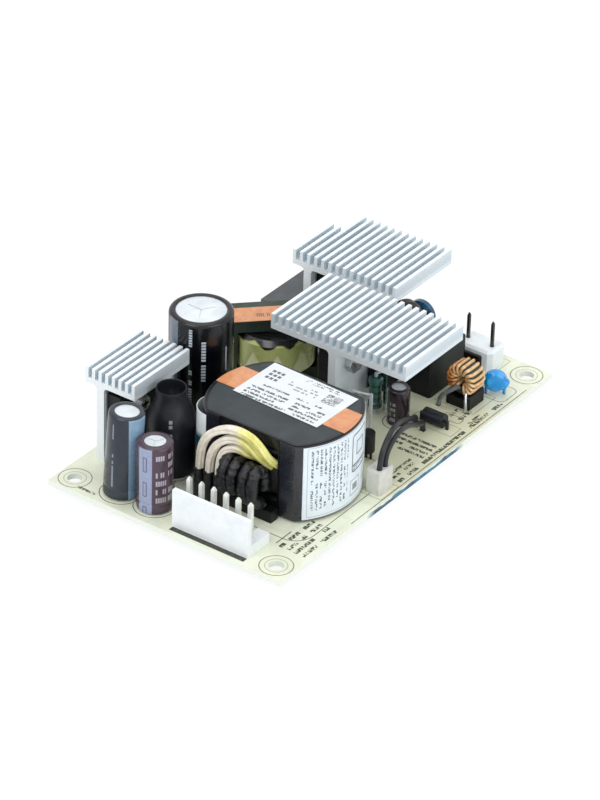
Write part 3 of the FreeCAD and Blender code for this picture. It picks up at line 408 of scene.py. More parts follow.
def small_print(finish, along, across, start, end, low, high, pitch, cell, share, seed, tall=0.62, parts=4):
    """A mask of rows of blocks, from start to end along the rows and from low to high across them.
    pitch is from row to row, cell is a block's width, share is how much of a row is inked, tall is
    a row's height as a part of the pitch, and parts is how many blocks lie over each other in it."""
    row = (across - low) / pitch
    column = (along - start) / cell
    dots = random_cell(finish, column.maths("FLOOR"), (row * parts).maths("FLOOR"), seed)
    words = random_cell(finish, (column / 7).maths("FLOOR"), row.maths("FLOOR"), seed + 9)
    inked = (dots > (1 - share)) * (words > 0.22)
    if parts == 1:
        inked = inked * finish.between(column.maths("FRACT"), 0.14, 0.86, 0.05)
    line = finish.between(row.maths("FRACT"), 0.5 - tall / 2, 0.5 + tall / 2, 0.03)
    inside = finish.between(along, start, end) * finish.between(across, low, high)
    return inked * line * inside


def frame_line(finish, x, y, centre_x, centre_y, half_x, half_y, width, corner=0.0):
    """A mask of a thin rectangle, from its middle and half sizes, with corners of radius corner."""
    away_x = (x - centre_x).maths("ABSOLUTE")
    away_y = (y - centre_y).maths("ABSOLUTE")
    over_x = (away_x - (half_x - corner)).maths("MAXIMUM", 0.0)
    over_y = (away_y - (half_y - corner)).maths("MAXIMUM", 0.0)
    reach = distance(over_x, over_y) if corner else over_x.maths("MAXIMUM", over_y)
    inner = (away_x - half_x).maths("MAXIMUM", away_y - half_y)
    outer = finish.between(reach, corner - width, corner + 0.001, 0.03)
    return outer * finish.step(inner, -corner - width, 0.02)


def ring_line(finish, centre, radius, width):
    away = distance(finish.x - centre[0], finish.y - centre[1])
    return finish.between(away, radius - width / 2, radius + width / 2, 0.04)


print("print helpers ready")

# %% [markdown]
# ## The circuit board
# The board is pale paper-and-glass laminate with dark olive print. It is cloudy, with the copper
# side showing through as faint wide tracks. All of this is flat, so it is painted by masks on the
# place. First comes the print: rings, outlines and rows where the holes and the parts are.

# %% The board's print
def board_print(finish):
    """A mask of all thin print on the board."""
    x, y = finish.x, finish.y
    holes = [(hole_x * right, hole_y * up) for right in (-1, 1) for up in (-1, 1)]
    rings = [ring_line(finish, hole, radius, 0.26) * share
             for hole in holes for radius, share in ((3.0, 0.45), (4.5, 0.9))]
    rings += [ring_line(finish, *ring) for ring in (
        (bulk_axis, 9.7, 0.3), (slim_axis, 5.8, 0.25), (output_axis, 5.7, 0.25), (start_axis, 4.1, 0.25))]
    outlines = [frame_line(finish, x, y, *outline) for outline in (
        (-13.0, -33.4, 4.2, 3.6, 0.25),
        (22.1, -27.0, 2.6, 7.2, 0.25),
        (27.6, -29.2, 1.6, 3.2, 0.2, 1.2),
        (*transformer_axis, 22.6, 22.2, 0.25, 6.0),
        (38.0, -26.4, 5.6, 6.4, 0.25),
        (56.9, -18.4, 4.9, 7.2, 0.25),
        (46.3, -31.25, 4.2, 4.6, 0.2, 2.0))]
    lines = [finish.between(y, -27.1, -26.8) * finish.between(x, -50.2, -43.5),
             finish.between(y, -37.3, -37.05) * finish.between(x, -31.0, 52.0)]
    rows = [small_print(finish, x, y, *row) for row in (
        (-51.0, -36.0, -37.2, -27.6, 2.4, 0.3, 0.7, 1.0, 0.5, 2),
        (-7.0, 42.0, -36.6, -34.6, 2.0, 0.32, 0.74, 2.0, 0.6, 2),
        (-7.5, 4.0, -34.2, -31.0, 1.6, 0.3, 0.6, 3.0),
        (43.0, 57.0, -26.6, -25.2, 1.4, 0.3, 0.6, 5.0),
        (28.0, 33.4, -36.0, -26.0, 3.2, 0.3, 0.55, 6.0, 0.4),
        (4.0, 27.0, 35.4, 37.0, 1.6, 0.3, 0.6, 9.0))]
    rows += [small_print(finish, y, x, *row) for row in (
        (-34.2, -21.5, 5.6, 14.2, 2.1, 0.3, 0.76, 4.0, 0.5, 2),
        (24.0, 30.0, -62.0, -60.4, 1.6, 0.3, 0.6, 7.0),
        (-22.0, -3.0, -49.6, -48.2, 1.4, 0.3, 0.5, 8.0))]
    return cover(*rings, *outlines, *lines, *rows)


print("board print ready")

# %% [markdown]
# Which way a face looks says whether it is upper side, sawn edge or underside. The underside has
# a teal lacquer, which runs a little way up the edge.

# %% The circuit board
def laminate(finish, tracks, fibre):
    """The bare upper side: cloudy, with faint tracks, a darker, warmer patch of painted shade over its front
    middle, and fibres.
    """
    base = finish.mottle((238, 242, 220), (226, 230, 207), finish.noise(14.0, 2.0), 0.15)
    base = finish.mix(base, paint(216, 221, 200), finish.between(tracks, 0.42, 0.6, 0.03) * 0.35)
    # Painted shade: a darker, warmer patch over the front middle of the board.
    painted_shade_patch = finish.between(finish.x, -14.0, 42.0, 9.0) * (1.0 - finish.step(finish.y, -14.0, 9.0))
    base = finish.mix(base, paint(212, 208, 168), painted_shade_patch * 0.5)
    return finish.mix(base, paint(208, 213, 186), finish.step(fibre, 0.62, 0.08) * 0.3)


def board_finish():
    finish = Finish("board_laminate", 0.4, coat=0.15)
    x, y, z = finish.x, finish.y, finish.z
    tracks = finish.node("ShaderNodeTexVoronoi", {"distance": "CHEBYCHEV", "feature": "F1"}, {
        "Vector": finish.place, "Scale": 0.11, "Randomness": 0.8}, "Distance")
    fibre = finish.noise(0.5, 4.0)
    upward = finish.step(finish.facing(2), 0.5, 0.2)
    lit = upward * finish.step(z, board_top - 0.05, 0.02)
    worn = finish.step(finish.noise(0.9, 2.0), 0.36, 0.1)
    ink = board_print(finish) * lit * (worn * 0.35 + 0.6)
    top = finish.mix(laminate(finish, tracks, fibre), paint(44, 48, 30), ink)
    bar = finish.between(x, -62.35, -60.6) * finish.between(y, -25.3, -1.2) * lit
    top = finish.mix(top, paint(26, 27, 22), bar * (worn * 0.1 + 0.88))
    lacquer = finish.mottle((10, 118, 148), (6, 58, 92), finish.noise(3.0), 0.1)
    copper_side = finish.mix(lacquer, paint(36, 128, 128), finish.between(tracks, 0.3, 0.75, 0.02))
    run = finish.between(x + finish.noise(9.0) * 8, -20.0, 22.0, 2.0) * (1.0 - finish.step(y, -37.5, 0.3))
    sawn = finish.step(finish.noise(5.0) + z * 0.5, 2.1, 0.12)
    edge = finish.mix(paint(236, 241, 230), lacquer, run * (1.0 - sawn))
    side = 1.0 - finish.step(finish.side_facing(2), 0.5, 0.2)
    below = (1.0 - upward) * (1.0 - side)
    colour = finish.mix(finish.mix(top, edge, side), copper_side, below)
    return finish.skin(colour, fibre, 0.2, 0.42, fibre, 0.02)


dress(board_finish(), "circuit_board")
print("board dressed")

# %% [markdown]
# ## Labels
# Two paper labels are stuck to the transformer, one on its top and one round its front wall. On
# the curved wall the print has to follow the paper, so its rows are counted by the angle round
# the middle of the core, turned into a length, and by the height.

# %% Labels
def arc_length(finish, axis, radius, start_angle):
    """How far round an upright axis a point is, in millimetres, from an angle in degrees."""
    turn = math.radians(start_angle)
    away_x = finish.x - axis[0]
    away_y = finish.y - axis[1]
    ahead = away_x * math.cos(turn) + away_y * math.sin(turn)
    aside = away_y * math.cos(turn) - away_x * math.sin(turn)
    return aside.maths("ARCTAN2", ahead) * radius


def paper(finish, ink, colour, ink_colour):
    """Printed paper, made cloudy by a shade that is a little darker than its colour."""
    darker = 8
    fibre = finish.noise(0.25)
    sheet = finish.mottle(colour, [level - darker for level in colour], finish.noise(4.0))
    return finish.skin(finish.mix(sheet, paint(*ink_colour), ink * 0.85), fibre, 0.2, 0.45, fibre, 0.01)


def top_label_finish():
    finish = Finish("top_label_paper", 0.45)
    ink = cover(*[small_print(finish, finish.y, finish.x, *row) for row in (
        (-22.5, 1.5, -29.0, -22.8, 1.55, 0.34, 0.72, 1.0, 0.55, 2),
        (-20.0, -1.0, -22.0, -20.8, 1.2, 0.3, 0.6, 2.0, 0.6, 2),
        (-20.0, -9.0, -13.6, -11.8, 0.9, 0.25, 0.5, 3.0, 0.6, 2),
        (-22.2, -17.6, -19.0, -14.4, 0.46, 0.46, 0.55, 4.0, 1.0),
        (-15.6, -6.0, -19.0, -15.0, 1.3, 0.5, 0.6, 5.0, 0.45, 1),
        (-3.0, 1.2, -18.6, -13.4, 1.75, 1.4, 1.0, 6.0, 0.62, 1))])
    return paper(finish, ink, (232, 237, 241), (38, 42, 46))


def side_label_finish():
    finish = Finish("side_label_paper", 0.4)
    along = arc_length(finish, transformer_axis, 21.4, 270.0)
    z = finish.z
    frames = [frame_line(finish, along, z, *box) for box in (
        (5.4, 19.4, 4.4, 5.9, 0.45, 1.2),
        (5.4, 20.4, 2.2, 2.2, 0.4, 0.5),
        (2.8, 9.0, 2.4, 2.4, 0.4),
        (9.4, 10.2, 1.9, 1.9, 0.4))]
    ink = cover(
        *frames,
        frame_line(finish, along, z, 0.2, 15.9, 14.2, 10.8, 0.18, 0.8) * 0.5,
        finish.between(along, 1.5, 9.3) * finish.between(z, 15.4, 16.0),
        finish.between(along, 1.6, 4.0) * finish.between(z, 8.0, 10.0) * 0.8,
        small_print(finish, z, along, 7.0, 25.6, -13.2, -0.8, 1.3, 0.3, 0.55, 1.0, 0.5),
        small_print(finish, along, z, 1.8, 9.0, 14.0, 15.4, 0.7, 0.3, 0.6, 2.0))
    return paper(finish, ink, (230, 241, 248), (52, 58, 68))


dress(top_label_finish(), "transformer_top_label")
dress(side_label_finish(), "transformer_side_label")
print("labels dressed")

# %% [markdown]
# ## Tapes and windings
# Polyester tape is thin and glossy. Its turns overlap, which shows as faint steps along the
# height. The strips over the cores are orange, and the choke's strip carries a few generic marks
# in dark brown. The yellow tape round the choke is folded like the side of a parcel, with painted
# shade in its folds and a near-black top band for the bobbin's flange and painted shade under the core.

# %% Tapes
def band_tape():
    """The black tape round the transformer."""
    finish = Finish("tape_black", 0.3, coat=0.3)
    cloud = finish.noise(2.5)
    turns = finish.step(((finish.z + cloud * 0.8) / 9.0).maths("FRACT"), 0.5, 0.08)
    share = finish.step(cloud, 0.5, 0.2) * 0.7 + turns * 0.3
    crease = finish.noise(1.2, 2.0)
    colour = finish.mix(paint(36, 38, 50), paint(20, 22, 30), share)
    return finish.skin(colour, crease, 0.3, 0.3, crease + turns * 0.6, 0.02)


def strip_finish(name, marks=None):
    finish = Finish(name, 0.3, coat=0.5)
    colour = finish.mottle((226, 156, 106), (206, 132, 84), finish.noise(2.2))
    if marks:
        colour = finish.mix(colour, paint(112, 60, 40), marks(finish) * 0.8)
    crease = finish.noise(1.4, 2.0)
    return finish.skin(colour, crease, 0.2, 0.3, crease, 0.05)


def choke_marks(finish):
    """Marks along the diagonal on which the strip lies."""
    slant = math.sqrt(0.5)
    along = (finish.x - finish.y) * slant
    across = (finish.x + finish.y) * slant
    return small_print(finish, along, across, -10.0, 0.0, 24.2, 27.0, 2.8, 0.55, 0.8, 2.0, 0.6, 1)


def folded_tape():
    """Yellow tape over the choke: clear, tight in places, and folded like the side of a parcel, with painted
    shade in the folds and a near-black top band for the bobbin's flange and the shade under the core's plate.
    """
    finish = Finish("tape_yellow", 0.25, coat=0.5)
    along = arc_length(finish, choke_axis, 11.4, 225.0)
    wrinkle = finish.noise(3.0, 2.0)
    fold_width = 7.0
    saw = ((along + wrinkle * 2.0) / fold_width).maths("FRACT")
    crest = (saw - 0.5).maths("ABSOLUTE")
    # Painted shade: above each fold line the tape is darkened, as the shade in the fold; the same mask gives
    # the folds' relief.
    fold_and_shade = finish.step(finish.z - 9.0 - crest * (2.0 * fold_width) + wrinkle * 2.0, 1.5, 0.8)
    cloud = finish.noise(2.0)
    body = finish.mottle((255, 255, 222), (240, 246, 164), cloud, 0.25)
    body = finish.mix(body, paint(176, 186, 92), fold_and_shade * 0.75)
    # Partly painted shade: the near-black wavy band at the top is the bobbin's flange and the shade under the
    # core's plate.
    flange_and_shade = finish.step(finish.z + finish.noise(4.5, 0.0) * 3.0 - crest * 2.4, 19.2, 0.2)
    colour = finish.mix(body, paint(13, 14, 18), flange_and_shade)
    return finish.skin(colour, cloud, 0.3, 0.3, fold_and_shade + wrinkle * 0.6, 0.35)


def shaded_window_winding():
    """What is seen of the transformer's winding: painted near-black as the shade deep in its window, with
    yellow turns showing at one upper edge.
    """
    finish = Finish("window_winding_painted_shade", 0.35, coat=0.2, specular=0.3)
    cloud = finish.noise(2.0)
    # Painted shade: the winding is near-black where it lies in the window's shade.
    black = finish.mix(paint(16, 17, 21), paint(8, 8, 11), cloud)
    turns = finish.mottle((226, 222, 120), (150, 146, 66), (finish.z / 0.9).maths("FRACT"))
    bare = finish.step(finish.y + cloud * 2, 0.6, 0.4) * finish.step(finish.z, 17.5, 0.4)
    return finish.skin(finish.mix(black, turns, bare), cloud, 0.3, 0.4, cloud, 0.3)


dress(folded_tape(), "choke_winding")
dress(shaded_window_winding(), "transformer_winding")
dress(band_tape(), "transformer_tape_band")
dress(strip_finish("strip_orange"), "transformer_tape_strip")
dress(strip_finish("strip_orange_marked", choke_marks), "choke_tape_strip")
print("tapes dressed")

# %% [markdown]
# ## Capacitors in printed sleeves
# An electrolytic capacitor is an aluminium can in a shrunk plastic sleeve. The sleeve follows the
# crimp near the foot and rolls over the rim, and it is glossy, with a pale stripe down the
# negative side. The form is made as on a lathe, ring by ring, because a plain cylinder has
# neither crimp nor rolled rim.

# %% A lathe from extruded rings
def start_fresh():
    if bpy.context.mode != "OBJECT":
        bpy.ops.object.mode_set(mode="OBJECT")
    bpy.ops.object.select_all(action="DESELECT")


def added_piece(name):
    """Names the piece that was just made and writes its place into its points."""
    piece = bpy.context.object
    piece.name = name
    bpy.ops.object.transform_apply(location=True, rotation=True, scale=True)
    return piece


def face_outward(smooth):
    """Turns all faces outward, leaves edit mode and shades edges below an angle smooth."""
    bpy.ops.mesh.select_all(action="SELECT")
    bpy.ops.mesh.normals_make_consistent(inside=False)
    bpy.ops.object.mode_set(mode="OBJECT")
    bpy.ops.object.shade_smooth_by_angle(angle=math.radians(smooth))


def turned_piece(name, axis, profile, segments=72, smooth=40.0):
    """A ring is drawn at the first radius and height and extruded through the others."""
    start_fresh()
    radius, height = profile[0]
    middle = Vector((*axis, height)) * millimetre
    bpy.ops.mesh.primitive_circle_add(vertices=segments, radius=radius * millimetre, location=middle)
    piece = added_piece(name)
    bpy.ops.object.mode_set(mode="EDIT")
    bpy.ops.mesh.select_mode(type="VERT")
    bpy.ops.mesh.select_all(action="SELECT")
    for next_radius, next_height in profile[1:]:
        rise = (next_height - height) * millimetre
        bpy.ops.mesh.extrude_region_move(TRANSFORM_OT_translate={"value": (0.0, 0.0, rise)})
        share = next_radius / radius
        middle = Vector((*axis, next_height)) * millimetre
        bpy.ops.transform.resize(value=(share, share, 1.0), center_override=middle)
        radius, height = next_radius, next_height
    bpy.ops.mesh.select_all(action="SELECT")
    bpy.ops.mesh.remove_doubles(threshold=0.00001)
    face_outward(smooth)
    return piece


def sleeve_profile(radius, low, high, opening):
    """Inner foot, outer foot, crimp, body, rolled rim, and back down inside to the first ring."""
    wall = 0.3
    inner = radius - wall
    crimp = low + 2.6
    return [(inner, low), (radius - 0.1, low), (radius, low + 0.2), (radius, crimp - 0.7),
            (radius - 0.12, crimp - 0.45), (radius - 0.22, crimp), (radius - 0.12, crimp + 0.45),
            (radius, crimp + 0.7), (radius, high - 1.0), (radius - 0.08, high - 0.6),
            (radius - 0.3, high - 0.25), (radius - 0.75, high - 0.04), (radius - 1.1, high),
            (opening + 0.15, high), (opening, high - 0.12), (opening, high - 0.3), (inner, high - 0.32),
            (inner, low)]


print("lathe ready")

# %% [markdown]
# The sleeves are black, brown and slate. Each stripe is a band of the angle round the can, with
# a column of empty frames in the one on the output capacitor. Small blocks read up the two taller
# cans and round the two small ones.

# %% Printed sleeves
def sleeve_finish(axis, radius, name, colour, shade, stripe_angle, stripe_half, stripe_colour, marks,
                  mark_colour, frame_pitch=0.0):
    """The stripe has a direction and half a width, in degrees. A mark is read up the can or round
    it, and has its start, end, low and high place, its pitch and its cell."""
    finish = Finish(name, 0.26, coat=0.25, specular=0.35)
    along = arc_length(finish, axis, radius, stripe_angle)
    half = math.radians(stripe_half) * radius
    body = finish.mottle(colour, shade, finish.noise(5.0))
    stripe = finish.between(along, -half, half, 0.08)
    stripe = stripe * (1.0 - finish.step(finish.side_facing(2), 0.6, 0.1))
    body = finish.mix(body, paint(*stripe_colour), stripe * (1.0 - finish.noise(0.7) * 0.35))
    if frame_pitch:
        level = (finish.z / frame_pitch).maths("FRACT") * frame_pitch
        middle = frame_pitch / 2
        box = frame_line(finish, along, level, 0.0, middle, 0.32 * half, 0.3 * frame_pitch, 0.28, 0.3)
        body = finish.mix(body, paint(*shade), stripe * box * 0.75)
    blocks = []
    for seed, (way, place, pitch, cell) in enumerate(marks, 1):
        reading = (finish.z, along) if way == "up" else (along, finish.z)
        blocks.append(small_print(finish, *reading, *place, pitch, cell, 0.86, seed, 0.6, 1))
    ripple = finish.noise(3.0, 2.0)
    colour = finish.mix(body, paint(*mark_colour), cover(*blocks) * 0.85)
    return finish.skin(colour, ripple, 0.15, 0.24, ripple, 0.06)


def sleeved_can(can, axis, radius, low, high, opening, looks, lean=0.0):
    piece = turned_piece(f"{can}_sleeve", axis, sleeve_profile(radius, low, high, opening))
    if lean:
        foot = Vector((*axis, low)) * millimetre
        tilt = Matrix.Rotation(math.radians(lean), 4, Vector((0.75, 0.65, 0.0)))
        piece.data.transform(Matrix.Translation(foot) @ tilt @ Matrix.Translation(-foot))
    piece.data.materials.append(sleeve_finish(axis, radius, *looks).material)
    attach(piece, "root")
    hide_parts(f"{can}_capacitor_sleeve")


sleeved_can("bulk", bulk_axis, bulk_radius, 3.95, 38.22, 6.9, (
    "sleeve_black_print", (8, 10, 17), (4, 5, 10), 159.0, 13.0, (120, 132, 144),
    [("up", (8.0, 36.6, 5.2, 6.8), 1.6, 0.8), ("up", (8.0, 36.6, 8.6, 10.6), 2.0, 0.9),
     ("up", (10.0, 30.0, 16.0, 17.0), 1.0, 0.6)], (196, 206, 216)))
sleeved_can("slim", slim_axis, slim_radius, 4.1, 29.2, 3.3, (
    "sleeve_slate_print", (42, 52, 64), (32, 40, 51), 268.0, 28.0, (140, 172, 200),
    [("up", (8.0, 27.0, -7.4, -6.6), 0.8, 0.5)], (158, 172, 186)), lean=3.5)
sleeved_can("output", output_axis, output_radius, 3.95, 24.12, 2.9, (
    "sleeve_brown_print", (84, 66, 80), (62, 47, 60), 184.0, 24.0, (158, 170, 202),
    [("round", (3.0, 6.0, 7.0, 22.0), 2.6, 0.62), ("round", (6.6, 8.6, 7.0, 22.0), 2.6, 0.5)],
    (190, 184, 198), 7.6))
sleeved_can("start", start_axis, start_radius, 3.95, 14.92, 2.4, (
    "sleeve_dark_print", (50, 36, 44), (34, 24, 32), 120.0, 24.0, (176, 178, 188),
    [("round", (2.6, 4.4, 5.0, 13.0), 1.6, 0.45)], (150, 150, 158)))
print("sleeves made")

# %% [markdown]
# ## The shrink tube
# One capacitor stands inside a wide tube that was shrunk over it and left open at the top, so
# that it narrows to a neck. Its skin is smooth and satin, with soft waves where it shrank.

# %% The shrink tube
def shrink_finish():
    finish = Finish("shrink_tube", 0.5, coat=0.05, specular=0.35)
    cloud = finish.noise(4.0)
    along = arc_length(finish, shrink_axis, 6.6, 215.0)
    marks = small_print(finish, finish.z, along, 6.0, 28.0, -0.6, 0.8, 1.4, 1.3, 0.6, 3.0, 0.7, 1)
    body = finish.mottle((24, 28, 36), (12, 14, 20), cloud)
    colour = finish.mix(body, paint(176, 184, 194), marks * 0.6)
    return finish.skin(colour, cloud, 0.2, 0.48, finish.noise(2.4, 2.0), 0.15)


shrink = turned_piece("shrink_tube", shrink_axis, [
    (6.25, 4.8), (6.65, 4.8), (6.65, 12.0), (6.65, 19.0), (6.55, 20.6), (6.2, 22.2), (5.6, 23.7),
    (4.95, 25.0), (4.5, 26.1), (4.25, 27.2), (4.15, 28.3), (4.2, 29.2), (4.05, 29.58), (3.85, 29.45),
    (3.75, 28.3), (3.85, 27.2), (4.1, 26.1), (4.6, 24.9), (5.25, 23.6), (5.9, 22.1), (6.2, 20.6),
    (6.25, 19.0), (6.25, 4.8)])
shrink.data.materials.append(shrink_finish().material)
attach(shrink, "root")
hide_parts("shrink_cover")
print("shrink tube made")

# %% [markdown]
# ## Resistors
# The two film resistors are dipped in green and teal lacquer and carry colour bands. The bands
# are rings of other colours on the body, placed by its height. The wire under the body and the
# lead that bends over its top stay bare metal.

# %% Resistors
def resistor_finish(name, colour, shade, bands, arch_y, top):
    finish = Finish(name, 0.3, coat=0.5)
    cloud = finish.noise(1.5, 2.0)
    body = finish.mottle(colour, shade, cloud)
    band_width = 0.7
    for height, band in bands:
        body = finish.mix(body, paint(*band), finish.between(finish.z, height, height + band_width, 0.06))
    metal = finish.mix(paint(205, 208, 212), paint(180, 184, 190), cloud)
    wire = cover(1.0 - finish.step(finish.z, 5.7, 0.1), 1.0 - finish.step(finish.y, arch_y, 0.1),
                 finish.step(finish.z, top, 0.1))
    return finish.skin(finish.mix(body, metal, wire), finish.noise(0.6, 2.0), 0.15, 0.3, cloud, 0.05)


teal_bands = [(height, (18, 46, 44)) for height in (7.0, 8.8, 10.6, 12.8)]
green_bands = [(10.6, (60, 64, 66)), (12.0, (150, 150, 90))]
dress(resistor_finish("resistor_teal", (40, 98, 88), (28, 72, 66), teal_bands, arch_y=-14.0, top=15.5),
      "sense_resistor")
dress(resistor_finish("resistor_green", (120, 170, 160), (92, 146, 136), green_bands, arch_y=-11.9, top=13.9),
      "start_resistor")
print("resistors dressed")

# %% [markdown]
# ## Litz bundles
# The output windings leave the transformer as bundles of strands, yellow at the front and cream
# behind. A single tube looks like a hose, so each bundle is drawn as strands that wind slowly
# round one route. The route's own spline is measured first, and every strand is a curve beside
# it. A short black sleeve closes each bundle above its hole.

# %% Litz bundles
def route_points(points):
    """Points along the route's own smooth line, in metres."""
    guide = curve_through("guide", points, 0.0)
    line = bpy.data.meshes.new_from_object(guide.evaluated_get(bpy.context.evaluated_depsgraph_get()))
    found = [v.co.copy() for v in line.vertices]
    bpy.data.meshes.remove(line)
    bpy.data.objects.remove(guide)
    return found


def wire_piece(name, points, radius, finish, steps=8, roundness=5, cyclic=False):
    """A curve with its finish, with steps between two points and a rounder or plainer section."""
    wire = curve_through(name, points, radius * millimetre, cyclic)
    wire.data.resolution_u = steps
    wire.data.bevel_resolution = roundness
    wire.data.materials.append(finish.material)
    return wire


def join(name, pieces):
    """One mesh out of several curves or meshes."""
    start_fresh()
    for piece in pieces:
        piece.select_set(True)
    bpy.context.view_layer.objects.active = pieces[0]
    bpy.ops.object.convert(target="MESH")
    bpy.ops.object.join()
    return added_piece(name)


def join_wires(name, wires):
    piece = join(name, wires)
    bpy.ops.object.shade_smooth_by_angle(angle=math.radians(60))
    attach(piece, "root")
    return piece


def strands_along(route, finish):
    """Round strands that wind slowly about one route."""
    count, twist = 4, 1.6
    bundle_radius, strand_radius = 1.25, 0.62
    middle = route_points(route)
    made = []
    for k in range(count):
        points = []
        for i, place in enumerate(middle):
            ahead = middle[min(i + 1, len(middle) - 1)] - middle[max(i - 1, 0)]
            side = ahead.cross(Vector((1.0, 0.2, 0.1))).normalized()
            other = ahead.cross(side).normalized()
            angle = 2 * math.pi * k / count + twist * i / len(middle)
            off = (side * math.cos(angle) + other * math.sin(angle)) * (bundle_radius - strand_radius)
            points.append(place / millimetre + off)
        made.append(wire_piece("litz_strand", points, strand_radius, finish, steps=2, roundness=3))
    return made


def litz_finish():
    finish = Finish("litz_cream", 0.5, coat=0.1)
    cloud = finish.noise(1.8)
    cream = finish.mottle((244, 238, 224), (222, 212, 196), cloud)
    yellow = finish.mottle((236, 232, 150), (214, 208, 112), cloud)
    colour = finish.mix(yellow, cream, finish.step(finish.y + cloud * 3, -8.0, 1.5))
    return finish.skin(colour, finish.noise(0.5, 2.0), 0.2, 0.5, finish.noise(0.3, 2.0), 0.02)


litz_routes = (
    [(-38.6, -18.4, 18.6), (-41.6, -18.0, 21.0), (-42.3, -15.4, 24.8), (-42.8, -12.2, 27.0),
     (-43.2, -7.4, 27.4), (-44.0, -3.2, 26.0), (-44.9, 0.4, 22.8), (-45.2, 2.0, 16.6), (-45.2, 2.0, 2.0)],
    [(-38.6, -16.6, 17.4), (-41.6, -15.6, 20.0), (-42.2, -13.0, 22.8), (-42.5, -10.6, 24.2),
     (-42.9, -7.4, 24.4), (-43.9, -4.2, 23.0), (-44.8, -2.0, 19.8), (-45.2, -1.2, 14.5), (-45.2, -1.2, 2.0)],
    [(-39.0, -12.8, 18.8), (-41.7, -11.6, 20.1), (-42.3, -9.4, 21.4), (-42.9, -7.0, 21.45),
     (-44.0, -4.65, 19.8), (-45.2, -4.4, 15.0), (-45.2, -4.4, 2.0)])
litz = litz_finish()
strands = []
for route in litz_routes:
    strands += strands_along(route, litz)
for route in litz_routes:
    hole = route[-1][:2]
    strands.append(wire_piece("litz_sleeve", [(*hole, z) for z in (13.0, 8.0, 3.6)], 1.5, tube_black))
bundles = join_wires("litz_bundles", strands)
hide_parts("transformer_litz_leads")
print("litz bundles made:", len(strands), "strands and sleeves")

# %% [markdown]
# The thinner windings leave in soft black sleeves, in two humps of two sleeves each. Each is a
# curve turned into a mesh, and a displace modifier with a cloudy texture crumples it, because a
# plain tube would look like a new hose.

# %% Crumpled sleeves
def crumple(piece, size, depth):
    clouds = bpy.data.textures.new("crumple", "CLOUDS")
    clouds.noise_scale = size * millimetre
    clouds.noise_depth = 2
    modifier = piece.modifiers.new("crumple", "DISPLACE")
    modifier.texture = clouds
    modifier.texture_coords = "LOCAL"
    modifier.strength = depth * millimetre
    modifier.mid_level = 0.5
    bpy.context.view_layer.objects.active = piece
    bpy.ops.object.modifier_apply(modifier="crumple")


sleeves = []
for y, rest in ((-7.5, 8.45), (-10.4, 10.45), (-14.0, 8.45), (-16.9, 8.45)):
    hump = [(-42.2, y, 12.4), (-42.5, y, 16.3), (-43.9, y, 18.9), (-46.2, y, 19.1), (-47.6, y, 16.8),
            (-47.7, y, 12.0), (-45.6, y, rest + 1.0), (-43.4, y, rest)]
    sleeves.append(wire_piece("winding_sleeve", hump, 1.62, tube_black, steps=12))
humps = join_wires("crumpled_sleeves", sleeves)
crumple(humps, size=1.3, depth=1.0)
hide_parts("transformer_sleeved_leads")
print("sleeves crumpled:", len(humps.data.vertices), "points")

# %% [markdown]
# ## A paper tab
# The end of a paper label sticks out beside the transformer's far wall. It is a strip of a round
# wall: a cylinder is made, all of it but about a third is deleted, and the rest is made thick.

# %% A paper tab
tab_middle = Vector((-35.2, 3.4, 19.7))
tab_start, tab_end = 71.0, 181.0


def pick_faces(piece, wanted):
    """Goes to edit mode with only the wanted faces selected."""
    bpy.ops.object.mode_set(mode="EDIT")
    bpy.ops.mesh.select_mode(type="FACE")
    bpy.ops.mesh.select_all(action="DESELECT")
    bpy.ops.object.mode_set(mode="OBJECT")
    for face in piece.data.polygons:
        face.select = wanted(face)
    bpy.ops.object.mode_set(mode="EDIT")


def off_the_tab(face):
    """True where a face of the cylinder points back into the transformer."""
    away = face.center / millimetre - tab_middle
    return not tab_start < math.degrees(math.atan2(away.y, away.x)) % 360.0 < tab_end


def paper_tab():
    start_fresh()
    bpy.ops.mesh.primitive_cylinder_add(vertices=90, radius=5.6 * millimetre, depth=13.4 * millimetre,
                                        end_fill_type="NOTHING", location=tab_middle * millimetre)
    tab = added_piece("paper_tab")
    pick_faces(tab, off_the_tab)
    bpy.ops.mesh.delete(type="FACE")
    bpy.ops.mesh.select_all(action="SELECT")
    bpy.ops.mesh.extrude_region_shrink_fatten(TRANSFORM_OT_shrink_fatten={"value": 0.15 * millimetre})
    face_outward(30.0)
    finish = Finish("tab_paper", 0.4)
    cloud = finish.noise(3.0, 2.0)
    # Painted shade: the tab is dark teal below and paper white only near its top, where light reaches it.
    white = finish.step(finish.z + cloud * 3, 20.5, 1.0)
    finish.skin(finish.mix(paint(20, 78, 98), paint(240, 246, 248), white), cloud, 0.2, 0.45, cloud, 0.05)
    tab.data.materials.append(finish.material)
    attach(tab, "root")
    return tab


tab = paper_tab()
print("tab:", len(tab.data.vertices), "points")

# %% [markdown]
# ## The wound ring
# The line choke is a small ring core wound with thick lacquered wire. Each turn is a round
# wire bent into a rounded oblong about the ring's section. It leans a little, because the wire
# moves on along the ring, and inside the ring every other turn lies one layer deeper.

# %% The wound ring
ring_centre = Vector((37.0, -26.9, 11.4))


def wire_finish():
    finish = Finish("lacquered_wire", 0.3, 0.25, coat=0.4)
    cloud = finish.noise(1.6)
    gold = finish.mix(paint(240, 214, 164), paint(222, 172, 116), finish.step(cloud, 0.45, 0.2))
    amber = finish.mix(gold, paint(206, 128, 60), finish.step(finish.y + cloud * 2, -24.0, 1.0))
    return finish.skin(amber, finish.noise(0.6, 2.0), 0.2, 0.32, finish.noise(0.8, 2.0), 0.02)


